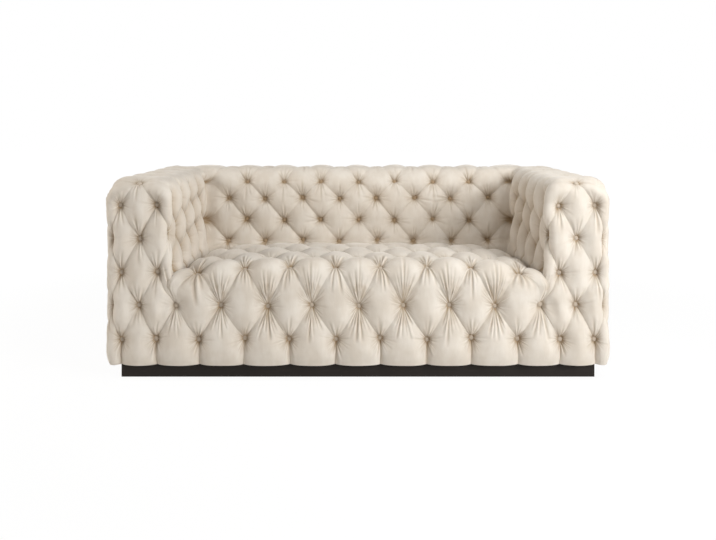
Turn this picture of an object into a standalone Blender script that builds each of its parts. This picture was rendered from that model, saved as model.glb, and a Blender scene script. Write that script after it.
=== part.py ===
"""Two-seater sofa, deep-buttoned all over, on a recessed plinth.

+X points to the sitter's left as seen from the front (right in a front view), +Y to the rear and
+Z up. The origin is on the floor, under the middle of the sofa. All sizes are in metres.
"""

import math

import bmesh
import bpy
import numpy as np

# Overall sizes
WIDTH = 1.90
DEPTH = 0.92
HEIGHT = 0.755
ARM_THICKNESS = 0.271
BACK_THICKNESS = 0.252
HEM_HEIGHT = 0.055

# Roundings of the upholstered body
TOP_RADIUS = 0.09
FRONT_RADIUS = 0.055
REAR_RADIUS = 0.08
SEAT_FRONT_RADIUS = 0.07
FLUSH_RADIUS = 0.006
FLUSH_TOP = 0.285
FLUSH_FADE = 0.07

# Seat surface
SEAT_HEIGHT = 0.453
SEAT_REAR_DROP = 0.045
SEAT_REAR_POWER = 3
SEAT_SIDE_DROP = 0.05
SEAT_SIDE_POWER = 6
SEAT_PADDING = 0.15
SPRING_ROOM = 0.035

# Buttoning: rows are counted upwards from the hem, columns are half pitches
OUTER_ROWS = 5
FIRST_ROW_RISE = 0.096
LAST_ROW_DROP = 0.106
RIDGE_INSET = 0.02
ARM_FRONT_SHARES = (0.0, 0.235, 0.465, 0.70, 1.0)
ARM_FRONT_COLUMNS = 4
ARM_SIDE_COLUMNS = 12
ARM_INNER_COLUMNS = 9
BACK_OUTER_COLUMNS = 22
BACK_INNER_COLUMNS = 16
SEAT_COLUMNS = 16
SEAT_TOP_ROWS = 5
SEAT_FIRST_TOP_ROW = 0.045
SEAT_LAST_TOP_ROW = 0.555
SHOULDER_DROPS = (0.095, 0.228, 0.335)
VALLEY_DROPS = (0.068, 0.155, 0.247, 0.339)

# Depths of the buttoning
CREASE_DEPTH = 0.018
BUTTON_DEPTH = 0.016
BUTTON_SPREAD = 0.03
PILLOW_REACH = 0.048
HEM_FADE = 0.05
SEAT_FADE = 0.05
CELL_STEPS = (0.0, 0.24, 0.76, 1.0)
SETTLE_ROUNDS = 12

# Padding between the cover and the frame
PADDING = 0.06
TOP_PADDING = 0.085

# Frame timber
RAIL_THICKNESS = 0.030
STRETCHER_HEIGHT = 0.07
BLOCK_LEG = 0.08
BLOCK_HEIGHT = 0.09
PANEL_THICKNESS = 0.030
TOP_RAIL_HEIGHT = 0.030
TACK_RAIL_HEIGHT = 0.06
TACK_RAIL_THICKNESS = 0.030
BACK_POSTS = 3
BACK_POST_WIDTH = 0.030

# Webbing on the front of the back frame
STRAPS = 4
STRAP_WIDTH = 0.05
STRAP_THICKNESS = 0.002

# Seat springs, their clips and the felt above them
SPRINGS = 5
SPRING_WIRE_RADIUS = 0.002
SPRING_HALF_WIDTH = 0.024
SPRING_BARS = 13
SPRING_ARCH = 0.016
SPRING_END_INSET = 0.012
CLIP_WIDTH = 0.022
CLIP_THICKNESS = 0.0016
FELT_THICKNESS = 0.003
FELT_SEAT_GAP = 0.0003

# Plinth, glides and dust cover
PLINTH_SIDE_INSET = 0.06
PLINTH_FRONT_INSET = 0.06
PLINTH_REAR_INSET = 0.06
PLINTH_THICKNESS = 0.030
GLIDE_RADIUS = 0.0125
GLIDE_HEIGHT = 0.002
GLIDE_INSET = 0.07
COVER_THICKNESS = 0.0012

# Clearances between pieces that touch
GAP = 0.0003
MITRE_GAP = 0.0004

# Places worked out from the sizes
OUTER_X = WIDTH / 2
FRONT_Y = -DEPTH / 2
REAR_Y = DEPTH / 2
INNER_X = OUTER_X - ARM_THICKNESS
INNER_Y = REAR_Y - BACK_THICKNESS
DECK_HEIGHT = SEAT_HEIGHT - SEAT_PADDING
RAIL_TOP = DECK_HEIGHT - SPRING_ROOM
RIDGE_X = (OUTER_X + INNER_X) / 2
RIDGE_Y = (REAR_Y + INNER_Y) / 2
CAVITY_X = OUTER_X - PADDING
CAVITY_INNER_X = INNER_X + PADDING
CAVITY_FRONT_Y = FRONT_Y + PADDING
CAVITY_REAR_Y = REAR_Y - PADDING
CAVITY_INNER_Y = INNER_Y + PADDING
CAVITY_TOP = HEIGHT - TOP_PADDING
PLINTH_TOP = HEM_HEIGHT - GAP
COVER_BOTTOM = PLINTH_TOP + GAP
FRAME_BOTTOM = COVER_BOTTOM + COVER_THICKNESS + GAP
FRAME_X = CAVITY_X - GAP
FRAME_INNER_X = CAVITY_INNER_X + GAP
FRAME_FRONT_Y = CAVITY_FRONT_Y + GAP
FRAME_REAR_Y = CAVITY_REAR_Y - GAP
STRAP_FRONT_Y = CAVITY_INNER_Y + GAP
FRAME_INNER_Y = STRAP_FRONT_Y + STRAP_THICKNESS + GAP
FRAME_TOP = CAVITY_TOP - GAP
FIRST_ROW = HEM_HEIGHT + FIRST_ROW_RISE
LAST_ROW = HEIGHT - LAST_ROW_DROP
ROW_PITCH = (LAST_ROW - FIRST_ROW) / (OUTER_ROWS - 1)
INNER_WALL_TOP = FIRST_ROW + ROW_PITCH
SEAT_HALF_WIDTH = INNER_X - GAP


def mix(start, end, share):
    """The value this share of the way from start to end."""
    return start + (end - start) * share


def rounded_corner(first, second, radius):
    """Distance to two faces that meet over a rounded edge, from the distances to each of them."""
    a = first + radius
    b = second + radius
    outside = np.hypot(np.maximum(a, 0), np.maximum(b, 0))
    return np.minimum(np.maximum(a, b), 0) + outside - radius


def front_radius(x, z):
    """Rounding of the arms' front edges, tight beside the seat's front, which runs on flush."""
    outward = np.clip(2 * (x - INNER_X) / ARM_THICKNESS, 0, 1)
    upward = np.clip((z - FLUSH_TOP) / FLUSH_FADE, 0, 1)
    return mix(FLUSH_RADIUS, FRONT_RADIUS, np.maximum(outward, upward))


def wall_distance(points):
    """Signed distance to the smooth surface of the arms and the back, positive outside."""
    x, y, z = np.abs(points[:, 0]), points[:, 1], points[:, 2]
    outer = rounded_corner(x - OUTER_X, y - REAR_Y, REAR_RADIUS)
    inner = np.minimum(INNER_X - x, INNER_Y - y)
    sides = rounded_corner(np.maximum(outer, inner), z - HEIGHT, TOP_RADIUS)
    return rounded_corner(sides, FRONT_Y - y, front_radius(x, z))


def seat_top(x, y):
    """Height of the seat's crowned top before buttoning."""
    back_share = (y - FRONT_Y) / (INNER_Y - FRONT_Y)
    side_share = np.abs(x / SEAT_HALF_WIDTH)
    rear_drop = SEAT_REAR_DROP * np.maximum(back_share, 0) ** SEAT_REAR_POWER
    return SEAT_HEIGHT - rear_drop - SEAT_SIDE_DROP * side_share**SEAT_SIDE_POWER


def seat_distance(points):
    """As wall_distance, for the seat's crowned top and its front."""
    x, y, z = points[:, 0], points[:, 1], points[:, 2]
    return rounded_corner(z - seat_top(x, y), FRONT_Y - y, SEAT_FRONT_RADIUS)


def wall_slope(points):
    """Outward direction of the arms' and the back's smooth surface."""
    step = 1e-5
    slope = np.stack(
        [wall_distance(points + axis) - wall_distance(points - axis) for axis in np.eye(3) * step],
        axis=1,
    )
    return slope / np.maximum(np.linalg.norm(slope, axis=1, keepdims=True), 1e-12)


def seat_slope(points):
    """Outward direction of the seat's surface: forwards on its front, upwards on its top."""
    x, y, z = points[:, 0], points[:, 1], points[:, 2]
    up = z - seat_top(x, y) + SEAT_FRONT_RADIUS
    forward = FRONT_Y - y + SEAT_FRONT_RADIUS
    rounded = (up > 0) & (forward > 0)
    slope = np.zeros_like(points)
    slope[:, 1] = -np.where(rounded, forward, forward > up)
    slope[:, 2] = np.where(rounded, up, forward <= up)
    return slope / np.linalg.norm(slope, axis=1, keepdims=True)


def settle(points, distance, slope):
    """Moves points onto the surface where distance is nought."""
    points = np.array(points, float)
    for _ in range(SETTLE_ROUNDS):
        points -= distance(points)[:, None] * slope(points)
    return points


def segment_distances(points, start, end):
    """Distance of each point to the straight crease from start to end."""
    along = end - start
    share = np.clip((points - start) @ along / (along @ along), 0, 1)
    return np.linalg.norm(points - start - share[:, None] * along, axis=1)


def rise(share):
    """Quarter-round rise of a pillow from its crease, 0 at the crease and 1 past its reach."""
    return np.sqrt(1 - (1 - np.clip(share, 0, 1)) ** 2)


class Cover:
    """A buttoned cover: lattice points, the creases between them and the patches they bound."""

    def __init__(self, distance, slope, fade):
        self.distance = distance
        self.slope = slope
        self.fade = fade
        self.buttons = {}
        self.creases = {}
        self.patches = []

    def settled(self, place):
        return settle([place], self.distance, self.slope)[0]

    def button(self, place):
        """Registers a button at the surface point nearest to place, and returns that point."""
        point = self.settled(place)
        self.buttons[tuple(np.round(point, 6))] = point
        return point

    def crease(self, start, end):
        key = tuple(sorted((tuple(np.round(start, 6)), tuple(np.round(end, 6)))))
        self.creases[key] = (start, end)

    def diamond(self, *corners):
        """A pillow between buttons, with a crease along each side."""
        for start, end in zip(corners, corners[1:] + corners[:1]):
            self.crease(start, end)
        self.patches.append(corners)

    def triangle(self, first, middle, last):
        """Half a pillow, cut off along the line from last to first."""
        self.crease(first, middle)
        self.crease(middle, last)
        self.patches.append((first, middle, last, last))

    def skirt(self, top, left, right, low_left, low_middle, low_right):
        """The pillow between two pleats that run from left and right to an edge."""
        for start, end in ((top, left), (top, right), (left, low_left), (right, low_right)):
            self.crease(start, end)
        self.patches.append((top, left, low_left, low_middle))
        self.patches.append((top, low_middle, low_right, right))

    def half_skirt(self, top, side, low_side, low_top):
        self.crease(top, side)
        self.crease(side, low_side)
        self.patches.append((top, side, low_side, low_top))

    def depths(self, points):
        """How far each surface point is drawn in by the buttoning."""
        pillow = np.ones(len(points))
        for start, end in self.creases.values():
            pillow *= rise(segment_distances(points, start, end) / PILLOW_REACH)
        nearest = np.min(
            [np.linalg.norm(points - button, axis=1) for button in self.buttons.values()], axis=0
        )
        pit = BUTTON_DEPTH * np.exp(-((nearest / BUTTON_SPREAD) ** 2))
        return (CREASE_DEPTH * (1 - pillow) + pit) * self.fade(points)

    def drawn_in(self, points):
        return points - self.depths(points)[:, None] * self.slope(points)

    def fill(self, mesh):
        """Adds the patches to a bmesh as small faces."""
        steps = np.array(CELL_STEPS)
        across, along = (grid.reshape(-1, 1) for grid in np.meshgrid(steps, steps))
        size = len(steps)
        for a, b, c, d in self.patches:
            flat = mix(mix(a, b, across), mix(d, c, across), along)
            points = self.drawn_in(settle(flat, self.distance, self.slope))
            corners = [mesh.verts.new(point) for point in points]
            for row in range(size - 1):
                for column in range(size - 1):
                    first = row * size + column
                    ring = (first, first + 1, first + size + 1, first + size)
                    mesh.faces.new([corners[index] for index in ring])


def wall_fade(points):
    """Creases run out towards the hem, and on the inner sides below the seat."""
    x, y, z = np.abs(points[:, 0]), points[:, 1], points[:, 2]
    fade = np.clip((z - HEM_HEIGHT) / HEM_FADE, 0, 1)
    hidden = (x < INNER_X + GAP) & (y > FRONT_Y + FRONT_RADIUS / 2) & (y < INNER_Y + GAP)
    return np.where(hidden, np.clip((z - DECK_HEIGHT - GAP) / SEAT_FADE, 0, 1), fade)


def seat_fade(points):
    return np.clip((points[:, 2] - HEM_HEIGHT) / HEM_FADE, 0, 1)


def outer_place(column):
    """Plan position of a column of the outer band, from the left arm's inner front edge round."""
    front, side, back = ARM_FRONT_COLUMNS, ARM_SIDE_COLUMNS, BACK_OUTER_COLUMNS
    if column > front + side + back / 2:
        x, y = outer_place(2 * (front + side) + back - column)
        return -x, y
    if column <= front:
        return mix(-INNER_X, -OUTER_X, ARM_FRONT_SHARES[column]), FRONT_Y
    if column <= front + side:
        return -OUTER_X, mix(FRONT_Y, REAR_Y, (column - front) / side)
    return mix(-OUTER_X, OUTER_X, (column - front - side) / back), REAR_Y


def inner_drop(row, share):
    """How far an inner row lies below the top, at this share of the way to the rear corner."""
    return mix(SHOULDER_DROPS[row], VALLEY_DROPS[row], share)


def build_wall_lattice(cover):
    """Buttons, creases and patches of both arms and the back, outside and inside."""
    front, side, back = ARM_FRONT_COLUMNS, ARM_SIDE_COLUMNS, BACK_OUTER_COLUMNS
    columns = 2 * (front + side) + back
    heights = [FIRST_ROW + ROW_PITCH * row for row in range(OUTER_ROWS)]
    outer = {}
    for column in range(columns + 1):
        x, y = outer_place(column)
        outer[-1, column] = cover.settled((x, y, HEM_HEIGHT))
        for row, height in enumerate(heights):
            if (row + column) % 2:
                outer[row, column] = cover.button((x, y, height))

    ridge = build_ridge(cover)
    for column in range(2, columns - 1, 2):
        outer[OUTER_ROWS, column] = ridge[ridge_name(column)]
    for column in range(1, columns):
        for row in range(1, OUTER_ROWS):
            if (row + column) % 2 == 0:
                cover.diamond(
                    outer[row - 1, column],
                    outer[row, column - 1],
                    outer[row + 1, column],
                    outer[row, column + 1],
                )
        if column % 2 == 0:
            low = [outer[-1, column + shift] for shift in (-1, 0, 1)]
            cover.skirt(outer[1, column], outer[0, column - 1], outer[0, column + 1], *low)
    for corner, inward in ((0, 1), (columns, columns - 1)):
        cover.triangle(outer[1, corner], outer[2, inward], outer[3, corner])
        cover.half_skirt(
            outer[1, corner], outer[0, inward], outer[-1, inward], outer[-1, corner]
        )
    for sign, last in ((-1, 0), (1, columns)):
        build_arm_inside(cover, sign, ridge, outer, last)
    build_back_inside(cover, ridge, outer)


def ridge_name(column):
    """Which button of the ridge a column of the outer band leads to."""
    front, side, back = ARM_FRONT_COLUMNS, ARM_SIDE_COLUMNS, BACK_OUTER_COLUMNS
    last = 2 * (front + side) + back
    if column > last / 2 and column > front + side + back - 2 - 1:
        kind, sign, place = ridge_name(last - column)
        return kind, -sign, place
    if column <= front:
        return "arm", -1, 0
    if column < front + side - 2:
        return "arm", -1, column - front
    if column <= front + side + 2:
        return "arm", -1, side - 2
    return "back", 0, column - front - side - 3


def build_ridge(cover):
    """The single row of buttons along the top of the arms and the back."""
    ridge = {}
    for sign in (-1, 1):
        for place in range(0, ARM_SIDE_COLUMNS - 1, 2):
            share = place / (ARM_SIDE_COLUMNS - 2)
            y = mix(FRONT_Y + RIDGE_INSET, RIDGE_Y, share)
            ridge["arm", sign, place] = cover.button((sign * RIDGE_X, y, HEIGHT))
    for place in range(1, BACK_INNER_COLUMNS, 2):
        x = mix(-INNER_X, INNER_X, place / BACK_INNER_COLUMNS)
        ridge["back", 0, place] = cover.button((x, RIDGE_Y, HEIGHT))
    return ridge


def arm_inner_point(sign, column, height):
    y = mix(FRONT_Y, INNER_Y, column / ARM_INNER_COLUMNS)
    return (sign * INNER_X, y, height)


def build_arm_inside(cover, sign, ridge, outer, corner):
    """The side of an arm that faces the sitter. Column 0 is its front edge."""
    last = ARM_INNER_COLUMNS
    inner = {(1, 0): outer[3, corner], (3, 0): outer[1, corner]}
    for column in range(1, last + 1):
        share = column / last
        for row in range(3):
            if (row + column) % 2:
                place = arm_inner_point(sign, column, HEIGHT - inner_drop(row, share))
                inner[row, column] = cover.button(place)
    for column in range(1, last + 1):
        inner[3, column] = cover.settled(arm_inner_point(sign, column, INNER_WALL_TOP))
    inner[4, 0] = outer[-1, corner]
    for column in range(1, last + 1):
        inner[4, column] = cover.settled(arm_inner_point(sign, column, HEM_HEIGHT))

    near = outer[4, corner + 1 if corner == 0 else corner - 1]
    cover.diamond(inner[1, 0], near, ridge["arm", sign, 0], inner[0, 1])
    for column in range(1, last + 1, 2):
        ends = [ridge["arm", sign, column - 1], ridge["arm", sign, column + 1]]
        outside = corner + (-1 if corner else 1) * (ARM_FRONT_COLUMNS + column)
        cover.diamond(ends[0], outer[4, outside], ends[1], inner[0, column])
    for column in range(2, last, 2):
        cover.diamond(
            ridge["arm", sign, column],
            inner[0, column - 1],
            inner[1, column],
            inner[0, column + 1],
        )
        low = [inner[3, column + shift] for shift in (-1, 0, 1)]
        cover.skirt(inner[1, column], inner[2, column - 1], inner[2, column + 1], *low)
    for column in range(1, last, 2):
        cover.diamond(
            inner[0, column], inner[1, column - 1], inner[2, column], inner[1, column + 1]
        )
    cover.triangle(inner[0, last], inner[1, last - 1], inner[2, last])
    cover.crease(inner[0, last], inner[2, last])
    cover.half_skirt(inner[1, 0], inner[2, 1], inner[3, 1], inner[3, 0])
    for column in range(last):
        cover.patches.append(
            (inner[3, column], inner[3, column + 1], inner[4, column + 1], inner[4, column])
        )


def build_back_inside(cover, ridge, outer):
    """The side of the back that faces the sitter. Columns 0 and the last are the valleys."""
    last = BACK_INNER_COLUMNS
    rows = len(VALLEY_DROPS)
    inner = {}
    for column in range(last + 1):
        x = mix(-INNER_X, INNER_X, column / last)
        for row in range(rows):
            if (row + column) % 2 == 0:
                inner[row, column] = cover.button((x, INNER_Y, HEIGHT - VALLEY_DROPS[row]))
        inner[rows, column] = cover.settled((x, INNER_Y, INNER_WALL_TOP))
        inner[rows + 1, column] = cover.settled((x, INNER_Y, HEM_HEIGHT))

    tops = {column: ridge["back", 0, column] for column in range(1, last, 2)}
    for sign, column in ((-1, -1), (1, last + 1)):
        tops[column] = ridge["arm", sign, ARM_SIDE_COLUMNS - 2]
    first_outside = ARM_FRONT_COLUMNS + ARM_SIDE_COLUMNS + 3
    for column in range(0, last + 1, 2):
        cover.diamond(
            tops[column - 1],
            outer[4, first_outside + column],
            tops[column + 1],
            inner[0, column],
        )
    for column in range(1, last, 2):
        for top, row in ((tops[column], 1), (inner[1, column], 3)):
            sides = inner[row - 1, column - 1], inner[row - 1, column + 1]
            cover.diamond(top, sides[0], inner[row, column], sides[1])
    for column in range(2, last, 2):
        cover.diamond(
            inner[0, column], inner[1, column - 1], inner[2, column], inner[1, column + 1]
        )
        low = [inner[rows, column + shift] for shift in (-1, 0, 1)]
        cover.skirt(inner[2, column], inner[3, column - 1], inner[3, column + 1], *low)
    for valley, inward in ((0, 1), (last, last - 1)):
        cover.triangle(inner[0, valley], inner[1, inward], inner[2, valley])
        cover.half_skirt(
            inner[2, valley], inner[3, inward], inner[rows, inward], inner[rows, valley]
        )
        cover.crease(inner[2, valley], inner[rows, valley])
    for column in range(last):
        cover.patches.append(
            (
                inner[rows, column],
                inner[rows, column + 1],
                inner[rows + 1, column + 1],
                inner[rows + 1, column],
            )
        )


def build_seat_lattice(cover):
    """Buttons, creases and patches of the seat, up its front and over its top."""
    top_rows = SEAT_TOP_ROWS
    lines = {-1: (FRONT_Y, HEM_HEIGHT), 0: (FRONT_Y, FIRST_ROW), 1: (FRONT_Y, INNER_WALL_TOP)}
    for row in range(top_rows):
        share = row / (top_rows - 1)
        lines[row + 2] = (FRONT_Y + mix(SEAT_FIRST_TOP_ROW, SEAT_LAST_TOP_ROW, share), None)
    last_row = top_rows + 1
    lines[last_row + 1] = (INNER_Y - GAP, None)
    lattice = {}
    for row, (y, height) in lines.items():
        for column in range(SEAT_COLUMNS + 1):
            x = mix(-SEAT_HALF_WIDTH, SEAT_HALF_WIDTH, column / SEAT_COLUMNS)
            z = seat_top(x, y) if height is None else height
            buttoned = 0 <= row <= last_row and (row + column) % 2
            place = cover.button if buttoned else cover.settled
            lattice[row, column] = place((x, y, z))
    for column in range(1, SEAT_COLUMNS):
        for row in range(1, last_row):
            if (row + column) % 2 == 0:
                cover.diamond(
                    lattice[row - 1, column],
                    lattice[row, column - 1],
                    lattice[row + 1, column],
                    lattice[row, column + 1],
                )
    for column in range(2, SEAT_COLUMNS, 2):
        for inside, buttons, edge in ((1, 0, -1), (last_row - 1, last_row, last_row + 1)):
            low = [lattice[edge, column + shift] for shift in (-1, 0, 1)]
            sides = (lattice[buttons, column - 1], lattice[buttons, column + 1])
            cover.skirt(lattice[inside, column], *sides, *low)
    for side, inward in ((0, 1), (SEAT_COLUMNS, SEAT_COLUMNS - 1)):
        for row in range(2, last_row, 2):
            cover.triangle(lattice[row - 1, side], lattice[row, inward], lattice[row + 1, side])
        for inside, buttons, edge in ((1, 0, -1), (last_row - 1, last_row, last_row + 1)):
            cover.half_skirt(
                lattice[inside, side],
                lattice[buttons, inward],
                lattice[edge, inward],
                lattice[edge, side],
            )


def clear_scene():
    for item in list(bpy.data.objects):
        bpy.data.objects.remove(item, do_unlink=True)


def make_material(name, colour, roughness, metallic=0.0):
    """A Principled material; colour is linear red, green and blue."""
    material = bpy.data.materials.new(name)
    material.use_nodes = True
    shader = material.node_tree.nodes["Principled BSDF"]
    shader.inputs["Base Color"].default_value = (*colour, 1.0)
    shader.inputs["Roughness"].default_value = roughness
    shader.inputs["Metallic"].default_value = metallic
    return material


def make_object(name, mesh, material):
    """Turns a bmesh into a named object with outward faces."""
    bmesh.ops.recalc_face_normals(mesh, faces=mesh.faces)
    data = bpy.data.meshes.new(name)
    mesh.to_mesh(data)
    mesh.free()
    data.materials.append(material)
    item = bpy.data.objects.new(name, data)
    bpy.context.scene.collection.objects.link(item)
    return item


def make_box(name, low, high, material):
    """A plain board between two opposite corners."""
    mesh = bmesh.new()
    bmesh.ops.create_cube(mesh, size=1.0)
    low, high = np.array(low), np.array(high)
    for vertex in mesh.verts:
        vertex.co = (low + high) / 2 + np.array(vertex.co) * (high - low)
    return make_object(name, mesh, material)


def make_prism(name, outline, low, high, material):
    """An upright prism over a plan outline."""
    mesh = bmesh.new()
    base = mesh.faces.new([mesh.verts.new((x, y, low)) for x, y in outline])
    raised = bmesh.ops.extrude_face_region(mesh, geom=[base])["geom"]
    moved = [item for item in raised if isinstance(item, bmesh.types.BMVert)]
    bmesh.ops.translate(mesh, vec=(0, 0, high - low), verts=moved)
    return make_object(name, mesh, material)


def hide_cutter(item):
    item.hide_render = True
    item.display_type = "WIRE"
    return item


def cut(item, cutter, operation="DIFFERENCE"):
    boolean = item.modifiers.new(cutter.name, "BOOLEAN")
    boolean.operation = operation
    boolean.object = cutter


def close_bottom(mesh):
    """Welds the patches of a cover and closes the one opening that they leave."""
    bmesh.ops.remove_doubles(mesh, verts=mesh.verts, dist=1e-5)
    edges = [edge for edge in mesh.edges if len(edge.link_faces) == 1]
    bmesh.ops.holes_fill(mesh, edges=edges, sides=0)
    bmesh.ops.triangulate(mesh, faces=mesh.faces)


def shade_pad(item):
    item.data.shade_smooth()
    item.data.set_sharp_from_angle(angle=math.radians(50))


def make_wall_guide(cloth):
    """Both arms and the back as one closed body, which the pads are cut from."""
    cover = Cover(wall_distance, wall_slope, wall_fade)
    build_wall_lattice(cover)
    mesh = bmesh.new()
    cover.fill(mesh)
    close_bottom(mesh)
    return hide_cutter(make_object("wall_guide", mesh, cloth))


def make_wall_pad(name, guide, outline, hollows, cloth):
    """The stretch of the wall over a plan outline, hollowed for the frame."""
    pad = bpy.data.objects.new(name, guide.data.copy())
    bpy.context.scene.collection.objects.link(pad)
    region = make_prism(name + "_region", outline, HEM_HEIGHT - PADDING, HEIGHT + PADDING, cloth)
    cut(pad, hide_cutter(region), "INTERSECT")
    for hollow in hollows:
        cut(pad, hollow)
    shade_pad(pad)


def mitre_point(x):
    """Y of the mitre between an arm and the back, at this distance from the middle."""
    return INNER_Y + (x - INNER_X) * BACK_THICKNESS / ARM_THICKNESS


def arm_plan(sign):
    """Plan outline that holds one arm, up to just short of its mitre with the back."""
    beyond = OUTER_X + PADDING
    inside = INNER_X / 2
    ends = [(inside, FRONT_Y - PADDING), (beyond, FRONT_Y - PADDING)]
    ends += [(beyond, mitre_point(beyond)), (inside, mitre_point(inside))]
    return [(sign * (x + MITRE_GAP), y) for x, y in ends]


def back_plan():
    """Plan outline that holds the back, up to just short of its two mitres."""
    beyond = OUTER_X + PADDING
    inside = INNER_X / 2
    right = [(x - MITRE_GAP, mitre_point(x)) for x in (beyond, inside)]
    left = [(-x, y) for x, y in reversed(right)]
    return right + left


def make_pads(cloth):
    """The buttoned covers with their padding: two arms, the back and the seat."""
    floor = HEM_HEIGHT - PADDING
    low_hollow = hide_cutter(
        make_box(
            "low_hollow",
            (-CAVITY_X, CAVITY_FRONT_Y, floor),
            (CAVITY_X, CAVITY_REAR_Y, DECK_HEIGHT),
            cloth,
        )
    )
    arm_hollows = {
        sign: hide_cutter(
            make_box(
                "arm_hollow",
                (min(sign * CAVITY_X, sign * CAVITY_INNER_X), CAVITY_FRONT_Y, floor),
                (max(sign * CAVITY_X, sign * CAVITY_INNER_X), CAVITY_REAR_Y, CAVITY_TOP),
                cloth,
            )
        )
        for sign in (-1, 1)
    }
    back_hollow = hide_cutter(
        make_box(
            "back_hollow",
            (-CAVITY_X, CAVITY_INNER_Y, floor),
            (CAVITY_X, CAVITY_REAR_Y, CAVITY_TOP),
            cloth,
        )
    )
    guide = make_wall_guide(cloth)
    for name, sign in (("left_arm_pad", -1), ("right_arm_pad", 1)):
        hollows = (low_hollow, arm_hollows[sign], back_hollow)
        make_wall_pad(name, guide, arm_plan(sign), hollows, cloth)
    hollows = (low_hollow, arm_hollows[-1], arm_hollows[1], back_hollow)
    make_wall_pad("back_pad", guide, back_plan(), hollows, cloth)

    cover = Cover(seat_distance, seat_slope, seat_fade)
    build_seat_lattice(cover)
    mesh = bmesh.new()
    cover.fill(mesh)
    bmesh.ops.remove_doubles(mesh, verts=mesh.verts, dist=1e-5)
    close_seat(mesh)
    pad = make_object("seat_pad", mesh, cloth)
    under_seat = make_box(
        "under_seat",
        (-OUTER_X, CAVITY_FRONT_Y, floor),
        (OUTER_X, REAR_Y, DECK_HEIGHT),
        cloth,
    )
    cut(pad, hide_cutter(under_seat))
    shade_pad(pad)


def close_seat(mesh):
    """Closes the seat's two sides, its rear and its underside with flat faces."""
    edge = 1e-4
    rim = [vertex for vertex in mesh.verts if vertex.is_boundary]
    corners = {
        sign: mesh.verts.new((sign * SEAT_HALF_WIDTH, INNER_Y - GAP, HEM_HEIGHT))
        for sign in (-1, 1)
    }
    for sign in (-1, 1):
        side = [v for v in rim if abs(v.co.x - sign * SEAT_HALF_WIDTH) < edge]
        centre = (FRONT_Y + REAR_Y) / 2, HEM_HEIGHT
        side.sort(key=lambda v: math.atan2(v.co.z - centre[1] + edge, v.co.y - centre[0]))
        mesh.faces.new(side + [corners[sign]])
    rear = [v for v in rim if abs(v.co.y - (INNER_Y - GAP)) < 4 * edge]
    rear.sort(key=lambda v: v.co.x)
    mesh.faces.new(rear + [corners[1], corners[-1]])
    front = [v for v in rim if abs(v.co.z - HEM_HEIGHT) < edge]
    front.sort(key=lambda v: v.co.x)
    mesh.faces.new(front + [corners[1], corners[-1]])
    bmesh.ops.triangulate(mesh, faces=mesh.faces)


def make_frame(timber):
    """Seat frame, arm frames and back frame."""
    inner = FRAME_FRONT_Y + RAIL_THICKNESS
    rear_inner = FRAME_REAR_Y - RAIL_THICKNESS
    side_inner = FRAME_X - RAIL_THICKNESS
    make_box(
        "front_seat_rail",
        (-FRAME_X, FRAME_FRONT_Y, FRAME_BOTTOM),
        (FRAME_X, inner, RAIL_TOP),
        timber,
    )
    make_box(
        "back_bottom_rail",
        (-FRAME_X, rear_inner, FRAME_BOTTOM),
        (FRAME_X, FRAME_REAR_Y, RAIL_TOP),
        timber,
    )
    for name, sign in (("left_seat_rail", -1), ("right_seat_rail", 1)):
        ends = sorted((sign * FRAME_X, sign * side_inner))
        make_box(
            name,
            (ends[0], inner + GAP, FRAME_BOTTOM),
            (ends[1], rear_inner - GAP, RAIL_TOP),
            timber,
        )
    rear_rail_y = INNER_Y + GAP
    make_box(
        "seat_rear_rail",
        (-side_inner + GAP, rear_rail_y, FRAME_BOTTOM),
        (side_inner - GAP, rear_rail_y + RAIL_THICKNESS, RAIL_TOP),
        timber,
    )
    make_box(
        "centre_stretcher",
        (-RAIL_THICKNESS / 2, inner + GAP, FRAME_BOTTOM),
        (RAIL_THICKNESS / 2, rear_rail_y - GAP, FRAME_BOTTOM + STRETCHER_HEIGHT),
        timber,
    )
    make_corner_blocks(timber, side_inner - GAP, inner + GAP, rear_inner - GAP)
    make_arm_frames(timber)
    make_back_frame(timber)


def make_corner_blocks(timber, x, front, rear):
    """Glued triangular blocks in the corners of the seat frame."""
    for end, y, inward in (("front", front, 1), ("rear", rear, -1)):
        for side, sign in (("left", -1), ("right", 1)):
            outline = [
                (sign * x, y),
                (sign * (x - BLOCK_LEG), y),
                (sign * x, y + inward * BLOCK_LEG),
            ]
            low = RAIL_TOP - BLOCK_HEIGHT
            make_prism(f"{end}_{side}_corner_block", outline, low, RAIL_TOP, timber)


def make_arm_frames(timber):
    """End panels, top rail and inner tack rail of each arm."""
    foot = RAIL_TOP + GAP
    top_low = FRAME_TOP - TOP_RAIL_HEIGHT
    for side, sign in (("left", -1), ("right", 1)):
        ends = sorted((sign * FRAME_X, sign * FRAME_INNER_X))
        front_end = FRAME_FRONT_Y + PANEL_THICKNESS
        make_box(
            f"{side}_arm_front_panel",
            (ends[0], FRAME_FRONT_Y, foot),
            (ends[1], front_end, top_low - GAP),
            timber,
        )
        make_box(
            f"{side}_arm_rear_panel",
            (ends[0], FRAME_REAR_Y - PANEL_THICKNESS, foot),
            (ends[1], FRAME_REAR_Y, top_low - GAP),
            timber,
        )
        make_box(
            f"{side}_arm_top_rail",
            (ends[0], FRAME_FRONT_Y, top_low),
            (ends[1], FRAME_REAR_Y, FRAME_TOP),
            timber,
        )
        inner_face = sorted((sign * FRAME_INNER_X, sign * (FRAME_INNER_X + TACK_RAIL_THICKNESS)))
        make_box(
            f"{side}_arm_tack_rail",
            (inner_face[0], front_end + GAP, DECK_HEIGHT),
            (inner_face[1], FRAME_REAR_Y - PANEL_THICKNESS - GAP, DECK_HEIGHT + TACK_RAIL_HEIGHT),
            timber,
        )


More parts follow.
